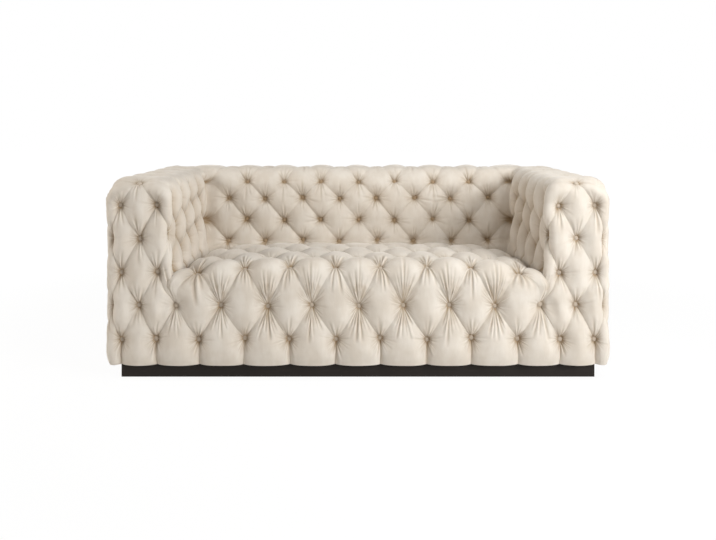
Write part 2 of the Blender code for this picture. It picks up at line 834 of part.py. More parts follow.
def make_back_frame(timber):
    """Top rail, tack rail and posts of the back, between the arm frames."""
    half = FRAME_INNER_X - GAP
    top_low = FRAME_TOP - TOP_RAIL_HEIGHT
    make_box(
        "back_top_rail", (-half, FRAME_INNER_Y, top_low), (half, FRAME_REAR_Y, FRAME_TOP), timber
    )
    tack_rear = FRAME_INNER_Y + TACK_RAIL_THICKNESS
    make_box(
        "back_tack_rail",
        (-half, FRAME_INNER_Y, DECK_HEIGHT),
        (half, tack_rear, DECK_HEIGHT + TACK_RAIL_HEIGHT),
        timber,
    )
    names = ("left", "centre", "right")
    for index in range(BACK_POSTS):
        x = mix(-half, half, (index + 1) / (BACK_POSTS + 1))
        make_box(
            f"{names[index]}_back_post",
            (x - BACK_POST_WIDTH / 2, tack_rear + GAP, RAIL_TOP + GAP),
            (x + BACK_POST_WIDTH / 2, FRAME_REAR_Y, top_low - GAP),
            timber,
        )


def make_straps(webbing):
    """Upright webbing straps on the front of the back frame."""
    half = FRAME_INNER_X - GAP
    for index in range(STRAPS):
        x = mix(-half, half, (index + 0.5) / STRAPS)
        make_box(
            f"back_strap_{index + 1}",
            (x - STRAP_WIDTH / 2, STRAP_FRONT_Y, DECK_HEIGHT + GAP),
            (x + STRAP_WIDTH / 2, STRAP_FRONT_Y + STRAP_THICKNESS, FRAME_TOP),
            webbing,
        )


def spring_span():
    """Y of the first and the last bar of a spring, on the front rail and the seat's rear rail."""
    front = FRAME_FRONT_Y + RAIL_THICKNESS - SPRING_END_INSET
    rear = INNER_Y + GAP + SPRING_END_INSET
    return front, rear


def spring_end_height():
    return RAIL_TOP + GAP + CLIP_THICKNESS + GAP + SPRING_WIRE_RADIUS


def spring_points(x):
    """Zigzag route of one spring, its bars joined by rounded ends."""
    front, rear = spring_span()
    pitch = (rear - front) / (SPRING_BARS - 1)
    bend = pitch / 2
    reach = SPRING_HALF_WIDTH - bend
    route = [(x - SPRING_HALF_WIDTH, front)]
    for bar in range(SPRING_BARS - 1):
        side = 1 if bar % 2 == 0 else -1
        y = front + pitch * bar
        route.append((x + side * reach, y))
        for turn in (0.25, 0.5, 0.75):
            angle = math.pi * turn
            route.append(
                (x + side * (reach + bend * math.sin(angle)), y + bend * (1 - math.cos(angle)))
            )
    side = 1 if SPRING_BARS % 2 else -1
    route.append((x + side * SPRING_HALF_WIDTH, rear))
    points = []
    for px, py in route:
        share = (py - front) / (rear - front)
        lift = SPRING_ARCH * math.sin(math.pi * share)
        points.append((px, py, spring_end_height() + lift))
    return points


def make_springs(steel):
    """Zigzag seat springs from the front rail to the seat's rear rail, with their clips."""
    front, rear = spring_span()
    for index in range(SPRINGS):
        x = mix(-SEAT_HALF_WIDTH, SEAT_HALF_WIDTH, (index + 0.5) / SPRINGS)
        curve = bpy.data.curves.new(f"seat_spring_{index + 1}", "CURVE")
        curve.dimensions = "3D"
        curve.bevel_depth = SPRING_WIRE_RADIUS
        curve.bevel_resolution = 1
        curve.use_fill_caps = True
        points = spring_points(x)
        spline = curve.splines.new("POLY")
        spline.points.add(len(points) - 1)
        for target, point in zip(spline.points, points):
            target.co = (*point, 1.0)
        curve.materials.append(steel)
        item = bpy.data.objects.new(curve.name, curve)
        bpy.context.scene.collection.objects.link(item)
        make_clip(f"spring_clip_front_{index + 1}", x, front, -1, steel)
        make_clip(f"spring_clip_rear_{index + 1}", x, rear, 1, steel)


def make_clip(name, x, y, facing, steel):
    """A bent strip that hooks round the end bar of a spring, open towards the spring."""
    inner = SPRING_WIRE_RADIUS + GAP
    outer = inner + CLIP_THICKNESS
    z = spring_end_height()
    profile = [
        (-outer, -outer),
        (outer, -outer),
        (outer, outer),
        (-outer, outer),
        (-outer, inner),
        (inner, inner),
        (inner, -inner),
        (-outer, -inner),
    ]
    mesh = bmesh.new()
    ring = [mesh.verts.new((x - CLIP_WIDTH / 2, y + facing * a, z + b)) for a, b in profile]
    base = mesh.faces.new(ring)
    raised = bmesh.ops.extrude_face_region(mesh, geom=[base])["geom"]
    moved = [item for item in raised if isinstance(item, bmesh.types.BMVert)]
    bmesh.ops.translate(mesh, vec=(CLIP_WIDTH, 0, 0), verts=moved)
    return make_object(name, mesh, steel)


def make_base(painted, nylon, cover_cloth):
    """Plinth boards, glides and the dust cover."""
    low = GLIDE_HEIGHT + GAP
    x = OUTER_X - PLINTH_SIDE_INSET
    front = FRONT_Y + PLINTH_FRONT_INSET
    rear = REAR_Y - PLINTH_REAR_INSET
    inner_front = front + PLINTH_THICKNESS
    inner_rear = rear - PLINTH_THICKNESS
    make_box("plinth_front", (-x, front, low), (x, inner_front, PLINTH_TOP), painted)
    make_box("plinth_rear", (-x, inner_rear, low), (x, rear, PLINTH_TOP), painted)
    for name, sign in (("plinth_left", -1), ("plinth_right", 1)):
        ends = sorted((sign * x, sign * (x - PLINTH_THICKNESS)))
        make_box(
            name,
            (ends[0], inner_front + GAP, low),
            (ends[1], inner_rear - GAP, PLINTH_TOP),
            painted,
        )
    make_box(
        "plinth_cross_rail",
        (-PLINTH_THICKNESS / 2, inner_front + GAP, low),
        (PLINTH_THICKNESS / 2, inner_rear - GAP, PLINTH_TOP),
        painted,
    )
    places = {"left": -x + GLIDE_INSET, "centre": 0.0, "right": x - GLIDE_INSET}
    lines = {"front": front + PLINTH_THICKNESS / 2, "rear": rear - PLINTH_THICKNESS / 2}
    for end, y in lines.items():
        for side, glide_x in places.items():
            make_glide(f"{end}_{side}_glide", glide_x, y, nylon)
    make_box(
        "dust_cover",
        (-FRAME_X, FRAME_FRONT_Y, COVER_BOTTOM),
        (FRAME_X, FRAME_REAR_Y, COVER_BOTTOM + COVER_THICKNESS),
        cover_cloth,
    )


def make_glide(name, x, y, nylon):
    mesh = bmesh.new()
    bmesh.ops.create_cone(
        mesh,
        cap_ends=True,
        segments=16,
        radius1=GLIDE_RADIUS,
        radius2=GLIDE_RADIUS,
        depth=GLIDE_HEIGHT,
    )
    bmesh.ops.translate(mesh, vec=(x, y, GLIDE_HEIGHT / 2), verts=mesh.verts)
    item = make_object(name, mesh, nylon)
    item.data.shade_smooth()
    item.data.set_sharp_from_angle(angle=math.radians(40))
    return item


def make_felt(felt):
    """Felt sheet between the springs and the seat padding."""
    top = DECK_HEIGHT - FELT_SEAT_GAP
    make_box(
        "spring_felt",
        (-SEAT_HALF_WIDTH, CAVITY_FRONT_Y + GAP, top - FELT_THICKNESS),
        (SEAT_HALF_WIDTH, INNER_Y - GAP, top),
        felt,
    )


def main():
    clear_scene()
    cloth = make_material("cream_velvet", (0.63, 0.55, 0.47), 0.75)
    timber = make_material("birch_timber", (0.62, 0.45, 0.27), 0.6)
    steel = make_material("spring_steel", (0.45, 0.45, 0.46), 0.35, 1.0)
    painted = make_material("black_plinth", (0.026, 0.021, 0.018), 0.45)
    nylon = make_material("black_nylon", (0.02, 0.02, 0.02), 0.4)
    black_cloth = make_material("black_dust_cloth", (0.015, 0.015, 0.015), 0.9)
    webbing = make_material("grey_webbing", (0.25, 0.24, 0.22), 0.85)
    felt = make_material("grey_felt", (0.3, 0.29, 0.27), 0.95)
    make_base(painted, nylon, black_cloth)
    make_frame(timber)
    make_straps(webbing)
    make_springs(steel)
    make_felt(felt)
    make_pads(cloth)


main()
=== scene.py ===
"""Dresses a deep-buttoned two-seater sofa: velvet covers, covered buttons, plinth and studio.

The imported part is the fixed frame. +X is right in a front view, +Y the rear, +Z up, in metres.
"""

import logging
import math
from abc import ABC, abstractmethod
from dataclasses import dataclass, field
from enum import Enum

import bpy
import numpy as np
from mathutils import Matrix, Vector


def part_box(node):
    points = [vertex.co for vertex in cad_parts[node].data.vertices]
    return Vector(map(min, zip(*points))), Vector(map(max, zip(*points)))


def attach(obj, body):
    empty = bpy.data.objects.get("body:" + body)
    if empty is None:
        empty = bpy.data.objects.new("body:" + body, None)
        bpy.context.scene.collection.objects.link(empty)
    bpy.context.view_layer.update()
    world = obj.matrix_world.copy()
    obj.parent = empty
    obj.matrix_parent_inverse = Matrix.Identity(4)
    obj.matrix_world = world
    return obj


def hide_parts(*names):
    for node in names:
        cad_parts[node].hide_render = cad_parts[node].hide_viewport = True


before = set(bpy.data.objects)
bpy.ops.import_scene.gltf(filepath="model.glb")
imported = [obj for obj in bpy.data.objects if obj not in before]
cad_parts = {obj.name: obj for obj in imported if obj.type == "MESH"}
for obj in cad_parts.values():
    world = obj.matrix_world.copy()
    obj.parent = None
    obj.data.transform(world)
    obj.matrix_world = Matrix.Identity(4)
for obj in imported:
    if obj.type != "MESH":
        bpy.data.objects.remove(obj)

LOG = logging.getLogger("sofa")
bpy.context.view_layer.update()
BODY = "root"
# Name of the mesh attribute that carries painted shade: how far the velvet's colour is pulled towards
# its shade tan in pits, creases, folds and tucked-in sides.
PAINTED_SHADE = "painted_shade"
GATHER = "gather"
GATHER_PLACE = "gather_place"
SEED_SHIFT = 5000
PLACE_STEP = 5e-4
PLACE_SHIFT = 0.137

Array = np.ndarray
Place = tuple[float, float, float]
Colour = tuple[float, float, float]


# Shader expressions


@dataclass(frozen=True)
class Signal:
    """A node's output, on which shader maths is written as plain expressions."""

    graph: "Graph"
    socket: bpy.types.NodeSocket

    def maths(self, operation: str, first: "Signal | float", second: "Signal | float") -> "Signal":
        """Adds one Math node.

        Args:
            operation: The Math node's operation.
            first: Its first value.
            second: Its second value.

        Returns:
            The result.
        """
        return self.graph.node("ShaderNodeMath", {"operation": operation}, {0: first, 1: second})

    def __add__(self, other: "Signal | float") -> "Signal":
        """self + other."""
        return self.maths("ADD", self, other)

    def __radd__(self, other: float) -> "Signal":
        """other + self."""
        return self.maths("ADD", other, self)

    def __sub__(self, other: "Signal | float") -> "Signal":
        """self - other."""
        return self.maths("SUBTRACT", self, other)

    def __rsub__(self, other: float) -> "Signal":
        """other - self."""
        return self.maths("SUBTRACT", other, self)

    def __mul__(self, other: "Signal | float") -> "Signal":
        """self * other."""
        return self.maths("MULTIPLY", self, other)

    def __rmul__(self, other: float) -> "Signal":
        """other * self."""
        return self.maths("MULTIPLY", other, self)

    def __pow__(self, power: float) -> "Signal":
        """self ** power."""
        return self.maths("POWER", self, power)

    def at_most(self, other: "Signal | float") -> "Signal":
        """The smaller of the two."""
        return self.maths("MINIMUM", self, other)

    def at_least(self, other: "Signal | float") -> "Signal":
        """The larger of the two."""
        return self.maths("MAXIMUM", self, other)

    def size(self) -> "Signal":
        """Its value without its sign."""
        return self.maths("ABSOLUTE", self, 0.0)


class Graph:
    """The node tree of one material or of the world."""

    def __init__(self, tree: bpy.types.NodeTree) -> None:
        """Takes over a node tree and clears it."""
        self.tree = tree
        tree.nodes.clear()

    def node(
        self,
        kind: str,
        settings: dict[str, object] | None = None,
        values: dict[int | str, object] | None = None,
        output: int | str = 0,
    ) -> Signal:
        """Adds a node.

        Args:
            kind: The node's type.
            settings: Its own settings, which are set first.
            values: A number, a colour or a Signal for each of its sockets.
            output: Which output to return.

        Returns:
            That output.
        """
        node = self.tree.nodes.new(kind)
        for name, setting in (settings or {}).items():
            setattr(node, name, setting)
        for key, value in (values or {}).items():
            if isinstance(value, Signal):
                self.tree.links.new(value.socket, node.inputs[key])
            else:
                node.inputs[key].default_value = value
        return Signal(self, node.outputs[output] if len(node.outputs) else None)

    def mix_colour(self, share: Signal | float, first: object, second: object) -> Signal:
        """A colour this share of the way from first to second."""
        colours = [value if isinstance(value, Signal) else (*value, 1.0) for value in (first, second)]
        return self.node(
            "ShaderNodeMix",
            {"data_type": "RGBA"},
            {0: share, 6: colours[0], 7: colours[1]},
            output=2,
        )

    def place(self, scale: Colour = (1.0, 1.0, 1.0)) -> Signal:
        """Object coordinates, scaled."""
        spot = self.node("ShaderNodeTexCoord", output="Object")
        return self.node("ShaderNodeMapping", values={"Vector": spot, "Scale": scale})

    def attribute(self, name: str, output: str) -> Signal:
        """What a mesh carries under this name."""
        return self.node("ShaderNodeAttribute", {"attribute_name": name}, output=output)

    def vector(self, operation: str, *values: object) -> Signal:
        """Adds one Vector Math node on these vectors."""
        return self.node("ShaderNodeVectorMath", {"operation": operation}, dict(enumerate(values)))

    def length(self, vector: Signal) -> Signal:
        """How long a vector is."""
        return self.node("ShaderNodeVectorMath", {"operation": "LENGTH"}, {0: vector}, "Value")

    def eased(self, value: Signal, start: float, end: float, low: float = 0.0) -> Signal:
        """Goes smoothly from low to 1 while a value goes from start to end."""
        values = {"Value": value, "From Min": start, "From Max": end, "To Min": low}
        return self.node("ShaderNodeMapRange", {"interpolation_type": "SMOOTHSTEP"}, values)

    def noise(self, spot: Signal, scale: float, detail: float = 2.0, rough: float = 0.5) -> Signal:
        """Noise from 0 to 1 at a spot."""
        values = {"Vector": spot, "Scale": scale, "Detail": detail, "Roughness": rough}
        return self.node("ShaderNodeTexNoise", {"noise_dimensions": "3D"}, values)

    def bands(
        self, direction: str, spot: Signal, scale: float, bend: float, values: dict | None = None
    ) -> Signal:
        """Bands from 0 to 1 that follow each other along an axis.

        Args:
            direction: The axis, X, Y or Z.
            spot: Where the bands are read.
            scale: How close they lie.
            bend: How uneven they are.
            values: Any other sockets of the node.

        Returns:
            The bands.
        """
        return self.node(
            "ShaderNodeTexWave",
            {"wave_type": "BANDS", "bands_direction": direction},
            {"Vector": spot, "Scale": scale, "Distortion": bend, **(values or {})},
            output="Fac",
        )

    def bump(
        self, height: Signal, strength: float, distance: float, over: Signal | None = None
    ) -> Signal:
        """A normal bent by a height.

        Args:
            height: The height, in units of distance.
            strength: How much of it shows.
            distance: The unit, in metres.
            over: Another bump that this one lies on.

        Returns:
            The normal.
        """
        values = {"Height": height, "Strength": strength, "Distance": distance}
        if over is not None:
            values["Normal"] = over
        return self.node("ShaderNodeBump", values=values, output="Normal")


class Finish(ABC):
    """One surface finish, made once and shared by its pieces."""

    label: str = "finish"

    def material(self) -> bpy.types.Material:
        """Makes the finish's material.

        Returns:
            The new material.
        """
        made = bpy.data.materials.new(self.label)
        made.use_nodes = True
        graph = Graph(made.node_tree)
        shader = graph.node("ShaderNodeBsdfPrincipled", values=self.sockets(graph))
        graph.node("ShaderNodeOutputMaterial", values={"Surface": shader})
        return made

    @abstractmethod
    def sockets(self, graph: Graph) -> dict[int | str, object]:
        """What goes into the shader's sockets."""


@dataclass(frozen=True)
class VelvetFinish(Finish):
    """Cream cotton velvet with a short pile that is brushed here and there, with painted shade in its
    pits, creases and folds.
    """

    label: str = "cream_velvet"
    pile: Colour = (0.675, 0.605, 0.520)
    brushed: Colour = (0.745, 0.687, 0.612)
    # Painted shade: the dark tan that the velvet is tinted towards in pits, creases, folds and on the
    # buttons.
    shade_tan: Colour = (0.31, 0.205, 0.100)
    roughness: float = 0.80
    nap_gloss: float = 0.08
    specular: float = 0.25
    sheen: float = 0.42
    sheen_roughness: float = 0.45
    sheen_tint: Colour = (1.0, 0.975, 0.94)
    patch_share: float = 0.65
    patch_scale: float = 9.0
    stroke_scale: float = 42.0
    pile_scale: float = 1400.0
    pile_height: float = 0.0006
    pile_strength: float = 0.18
    pile_shade: float = 0.82
    pile_share: float = 0.10
    nap_range: tuple[float, float] = (0.36, 0.66)
    # Painted shade: how much of the shade tan the mesh's shade attribute gives, and the most that any
    # spot gets.
    shade_share: float = 0.66
    darkest: float = 0.9
    folds_round: float = 4.5
    fold_sharpness: float = 8.0
    fold_slope: float = 0.0014
    fold_rise: float = 30.0
    uneven_scale: float = 26.0
    uneven_gain: float = 5.0
    uneven_start: float = 0.38
    uneven_most: float = 1.3
    # Painted shade between the fine folds round each button, and how fast it fades away from the
    # button.
    star_shade: float = 0.85
    star_shade_fade: float = 1.4

    def wrinkles(self, graph: Graph) -> tuple[Signal, Signal]:
        """Fine folds that run out from the nearest button.

        Args:
            graph: The velvet's nodes.

        Returns:
            Their height, and how far a spot lies down between two of them.
        """
        place = graph.attribute(GATHER_PLACE, "Vector")
        flat = graph.vector("MULTIPLY", place, (1.0, 1.0, 0.0))
        around = (self.folds_round,) * 3
        turn = graph.vector("MULTIPLY", graph.vector("NORMALIZE", flat), around)
        spot = graph.vector("ADD", turn, graph.vector("MULTIPLY", place, (0.0, 0.0, 1.0)))
        ridge = (graph.noise(spot, 1.0, 2.0, 0.55) - 0.5).size() * self.fold_sharpness
        ridge = ridge.at_most(1.0)
        patches = graph.noise(graph.place(), self.uneven_scale, 1.0)
        uneven = (patches - self.uneven_start) * self.uneven_gain
        uneven = uneven.at_least(0.0).at_most(self.uneven_most)
        strength = graph.attribute(GATHER, "Fac")
        # Painted shade in the low parts between the folds, a dark star round each button.
        between = (1.0 - ridge) * strength**self.star_shade_fade * self.star_shade
        return ridge * strength * graph.length(flat) * self.fold_rise * uneven, between

    def sockets(self, graph: Graph) -> dict[int | str, object]:
        """Nap in soft patches, fine pile over it, and painted shade where it is tucked in and between
        folds.
        """
        spot = graph.place()
        patches = graph.noise(spot, self.patch_scale, 3.0, 0.55)
        strokes = graph.noise(graph.place((1.0, 1.0, 0.35)), self.stroke_scale, 3.0, 0.6)
        pile = graph.noise(spot, self.pile_scale, 2.0, 0.6)
        brush = patches * self.patch_share + strokes * (1.0 - self.patch_share)
        nap = graph.eased(brush, *self.nap_range)
        shaded = tuple(self.pile_shade * value for value in self.pile)
        colour = graph.mix_colour(nap, self.pile, self.brushed)
        colour = graph.mix_colour(pile * self.pile_share, colour, shaded)
        height, between = self.wrinkles(graph)
        # Painted shade: colour pulled towards the shade tan by the mesh's shade attribute and by the
        # star between folds.
        shade = (graph.attribute(PAINTED_SHADE, "Fac") * self.shade_share + between).at_most(self.darkest)
        colour = graph.mix_colour(shade, colour, self.shade_tan)
        ripple = graph.bump(height + strokes * 0.5, 1.0, self.fold_slope)
        fibres = graph.bump(pile, self.pile_strength, self.pile_height, ripple)
        return {
            "Base Color": colour,
            "Roughness": self.roughness - nap * self.nap_gloss,
            "Normal": fibres,
            "Specular IOR Level": self.specular,
            "Sheen Weight": self.sheen,
            "Sheen Roughness": self.sheen_roughness,
            "Sheen Tint": (*self.sheen_tint, 1.0),
        }


@dataclass(frozen=True)
class PlinthFinish(Finish):
    """Open-pored wood under dark brown-black satin paint."""

    label: str = "black_plinth"
    paint: Colour = (0.0135, 0.0100, 0.0078)
    worn: Colour = (0.024, 0.0185, 0.0150)
    grain_stretch: Colour = (2.0, 30.0, 60.0)
    grain_scale: float = 9.0
    pore_depth: float = 0.0006
    marks_stretch: Colour = (1.0, 4.0, 4.0)
    marks_scale: float = 5.0
    roughness: float = 0.52
    specular: float = 0.22

    def sockets(self, graph: Graph) -> dict[int | str, object]:
        """Fine grain along X, and roller marks."""
        grain = graph.noise(graph.place(self.grain_stretch), self.grain_scale, 4.0, 0.6)
        marks = graph.noise(graph.place(self.marks_stretch), self.marks_scale, 3.0)
        return {
            "Base Color": graph.mix_colour(grain * 0.6 + marks * 0.3, self.paint, self.worn),
            "Roughness": self.roughness + grain * 0.16,
            "Specular IOR Level": self.specular,
            "Normal": graph.bump(grain, 0.25, self.pore_depth),
        }


@dataclass(frozen=True)
class TimberFinish(Finish):
    """Planed birch for the hidden frame."""

    label: str = "birch_timber"
    early: Colour = (0.66, 0.49, 0.30)
    late: Colour = (0.50, 0.34, 0.18)
    ring_stretch: Colour = (1.0, 7.0, 7.0)
    ring_scale: float = 5.0
    ring_bend: float = 6.0
    pore_stretch: Colour = (4.0, 90.0, 90.0)
    pore_scale: float = 8.0
    pore_depth: float = 0.0005
    roughness: float = 0.52

    def sockets(self, graph: Graph) -> dict[int | str, object]:
        """Rings seen side on, with pores."""
        spot = graph.place(self.ring_stretch)
        bend = graph.noise(spot, self.ring_scale / 2, 3.0)
        finer = {"Detail": 3.0, "Phase Offset": bend}
        rings = graph.bands("Z", spot, self.ring_scale, self.ring_bend, finer)
        pores = graph.noise(graph.place(self.pore_stretch), self.pore_scale, 3.0)
        return {
            "Base Color": graph.mix_colour(rings * 0.7 + pores * 0.25, self.early, self.late),
            "Roughness": self.roughness + pores * 0.2,
            "Normal": graph.bump(pores, 0.3, self.pore_depth),
        }


@dataclass(frozen=True)
class SteelFinish(Finish):
    """Oiled spring steel."""

    label: str = "spring_steel"
    bright: Colour = (0.42, 0.42, 0.43)
    oiled: Colour = (0.30, 0.29, 0.28)
    film_scale: float = 60.0
    roughness: float = 0.28

    def sockets(self, graph: Graph) -> dict[int | str, object]:
        """Drawn metal with an uneven film of oil."""
        film = graph.noise(graph.place(), self.film_scale, 3.0)
        return {
            "Base Color": graph.mix_colour(film, self.bright, self.oiled),
            "Metallic": 1.0,
            "Roughness": self.roughness + film * 0.2,
        }


@dataclass(frozen=True)
class NylonFinish(Finish):
    """Moulded black nylon of the glides."""

    label: str = "black_nylon"
    moulded: Colour = (0.018, 0.018, 0.019)
    scuffed: Colour = (0.035, 0.034, 0.033)
    scuff_scale: float = 220.0
    scuff_depth: float = 0.0003
    roughness: float = 0.36

    def sockets(self, graph: Graph) -> dict[int | str, object]:
        """Fine moulding texture, scuffed."""
        scuff = graph.noise(graph.place(), self.scuff_scale, 4.0)
        return {
            "Base Color": graph.mix_colour(scuff, self.moulded, self.scuffed),
            "Roughness": self.roughness + scuff * 0.2,
            "Normal": graph.bump(scuff, 0.2, self.scuff_depth),
        }


class WeaveKind(Enum):
    """Woven and felted stuffs that aren't velvet."""

    WEBBING = "grey_webbing"
    DUST_CLOTH = "black_dust_cloth"
    FELT = "grey_felt"


@dataclass(frozen=True)
class WeaveFinish(Finish):
    """Plain threads over and under, or matted fibres."""

    kind: WeaveKind = WeaveKind.WEBBING
    # Colour of the raised threads, and painted shade for the hollows between them.
    light: Colour = (0.30, 0.29, 0.265)
    hollow_shade: Colour = (0.17, 0.165, 0.15)
    thread: float = 0.0016
    band_at_one: float = 0.314
    unevenness: float = 0.6
    fibre_scale: float = 500.0
    tangle_scale: float = 90.0
    roughness: float = 0.94

    @property
    def label(self) -> str:
        """The material's name."""
        return self.kind.value

    def sockets(self, graph: Graph) -> dict[int | str, object]:
        """Two crossed bands of thread, or fibres only for felt, with painted shade in the low parts.
        """
        spot = graph.place()
        fibres = graph.noise(spot, self.fibre_scale, 4.0, 0.65)
        if self.kind is WeaveKind.FELT:
            height = fibres * 0.5 + graph.noise(spot, self.tangle_scale, 5.0, 0.7) * 0.5
        else:
            scale = self.band_at_one / self.thread
            weft = "Y" if self.kind is WeaveKind.DUST_CLOTH else "Z"
            warp_band, weft_band = (
                graph.bands(direction, spot, scale, self.unevenness) for direction in ("X", weft)
            )
            height = warp_band.at_least(weft_band) * 0.8 + fibres * 0.2
        # Painted shade: lighter on the raised threads or fibres, darker in the hollows between them.
        return {
            "Base Color": graph.mix_colour(height, self.hollow_shade, self.light),
            "Roughness": self.roughness - height * 0.08,
            "Normal": graph.bump(height, 0.5, self.thread / 2),
        }


WEAVES = (
    WeaveFinish(),
    WeaveFinish(WeaveKind.DUST_CLOTH, (0.030, 0.030, 0.031), (0.012, 0.012, 0.012), 0.0008),
    WeaveFinish(WeaveKind.FELT, (0.34, 0.33, 0.31), (0.22, 0.21, 0.20), 0.002),
)


# The smooth body before it is buttoned


@dataclass(frozen=True)
class SofaSizes:
    """Sizes of the upholstered body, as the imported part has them."""

    width: float = 1.90
    depth: float = 0.92
    height: float = 0.755
    arm: float = 0.271
    back: float = 0.252
    hem: float = 0.055
    top_radius: float = 0.09
    front_radius: float = 0.055
    rear_radius: float = 0.08
    seat_radius: float = 0.07
    seat_height: float = 0.453
    seat_rear_drop: float = 0.045
    seat_side_drop: float = 0.05
    padding: float = 0.05

    @property
    def outer_x(self) -> float:
        """Outer side of the right arm."""
        return self.width / 2

    @property
    def inner_x(self) -> float:
        """Inner side of the right arm."""
        return self.outer_x - self.arm

    @property
    def front_y(self) -> float:
        """Front of the arms and the seat."""
        return -self.depth / 2

    @property
    def rear_y(self) -> float:
        """Rear of the back."""
        return self.depth / 2

    @property
    def inner_y(self) -> float:
        """Front of the back."""
        return self.rear_y - self.back


def mix(start: float | Array, end: float | Array, share: float | Array) -> float | Array:
    """The value this share of the way from start to end."""
    return start + (end - start) * share


def smooth(share: Array) -> Array:
    """Eased 0 to 1."""
    share = np.clip(share, 0.0, 1.0)
    return share * share * (3.0 - 2.0 * share)


def rising(values: Array, start: float, width: float) -> Array:
    """0 up to start, 1 from a width beyond it, eased between."""
    return smooth((values - start) / width)


def falling(values: Array, start: float, width: float) -> Array:
    """1 up to start, 0 from a width beyond it, eased between."""
    return 1.0 - rising(values, start, width)


def bell(away: Array, width: float | Array) -> Array:
    """1 in the middle, fading on both sides over about width."""
    return np.exp(-((away / width) ** 2))


def chance_at(place: Array) -> np.random.Generator:
    """A source of chance that is the same for the same place, to the millimetre."""
    return np.random.default_rng([int(round(value * 1000)) + SEED_SHIFT for value in place])


def rounded_corner(first: Array, second: Array, radius: float | Array) -> Array:
    """Distance to two faces that meet over a rounded edge.

    Args:
        first: Distances to one face.
        second: Distances to the other face.
        radius: The edge's radius.

    Returns:
        Signed distances, positive outside.
    """
    a, b = first + radius, second + radius
    outside = np.hypot(np.maximum(a, 0.0), np.maximum(b, 0.0))
    return np.minimum(np.maximum(a, b), 0.0) + outside - radius


@dataclass(frozen=True)
class Form(ABC):
    """A smooth padded body."""

    sizes: SofaSizes = field(default_factory=SofaSizes)
    probe: float = 1e-5
    rounds: int = 8

    @abstractmethod
    def distance(self, points: Array) -> Array:
        """Signed distance of each point to the surface, positive outside."""

    def squeezed(self, points: Array) -> Array:
        """Finished points pushed to where their neighbours leave room."""
        return points

    def slope(self, points: Array) -> Array:
        """Outward direction of the surface next to each point."""
        here = self.distance(points)
        steps = [self.distance(points + axis) - here for axis in np.eye(3) * self.probe]
        slope = np.stack(steps, axis=1)
        return slope / np.maximum(np.linalg.norm(slope, axis=1, keepdims=True), 1e-12)

    def pull(self, points: Array) -> Array:
        """Direction against which buttons and creases draw each point in."""
        return self.slope(points)

    def facing_inward(self, points: Array) -> Array:
        """1 on an arm's side that faces the sitter, 0 elsewhere."""
        return np.zeros(len(points))

    def facing_front(self, points: Array) -> Array:
        """1 on the side of the back that faces the sitter, 0 elsewhere."""
        return np.zeros(len(points))

    def beside_neighbours(self, points: Array, width: float) -> Array:
        """1 where a cover is tucked in beside another one, 0 elsewhere."""
        return np.zeros(len(points))

    def pressed_flat(self, points: Array) -> Array:
        """1 where the seat presses against a cover, 0 elsewhere."""
        return np.zeros(len(points))

    def settle(self, points: Array) -> Array:
        """Moves points onto the surface."""
        points = np.array(points, float)
        for _ in range(self.rounds):
            points -= self.distance(points)[:, None] * self.slope(points)
        return points


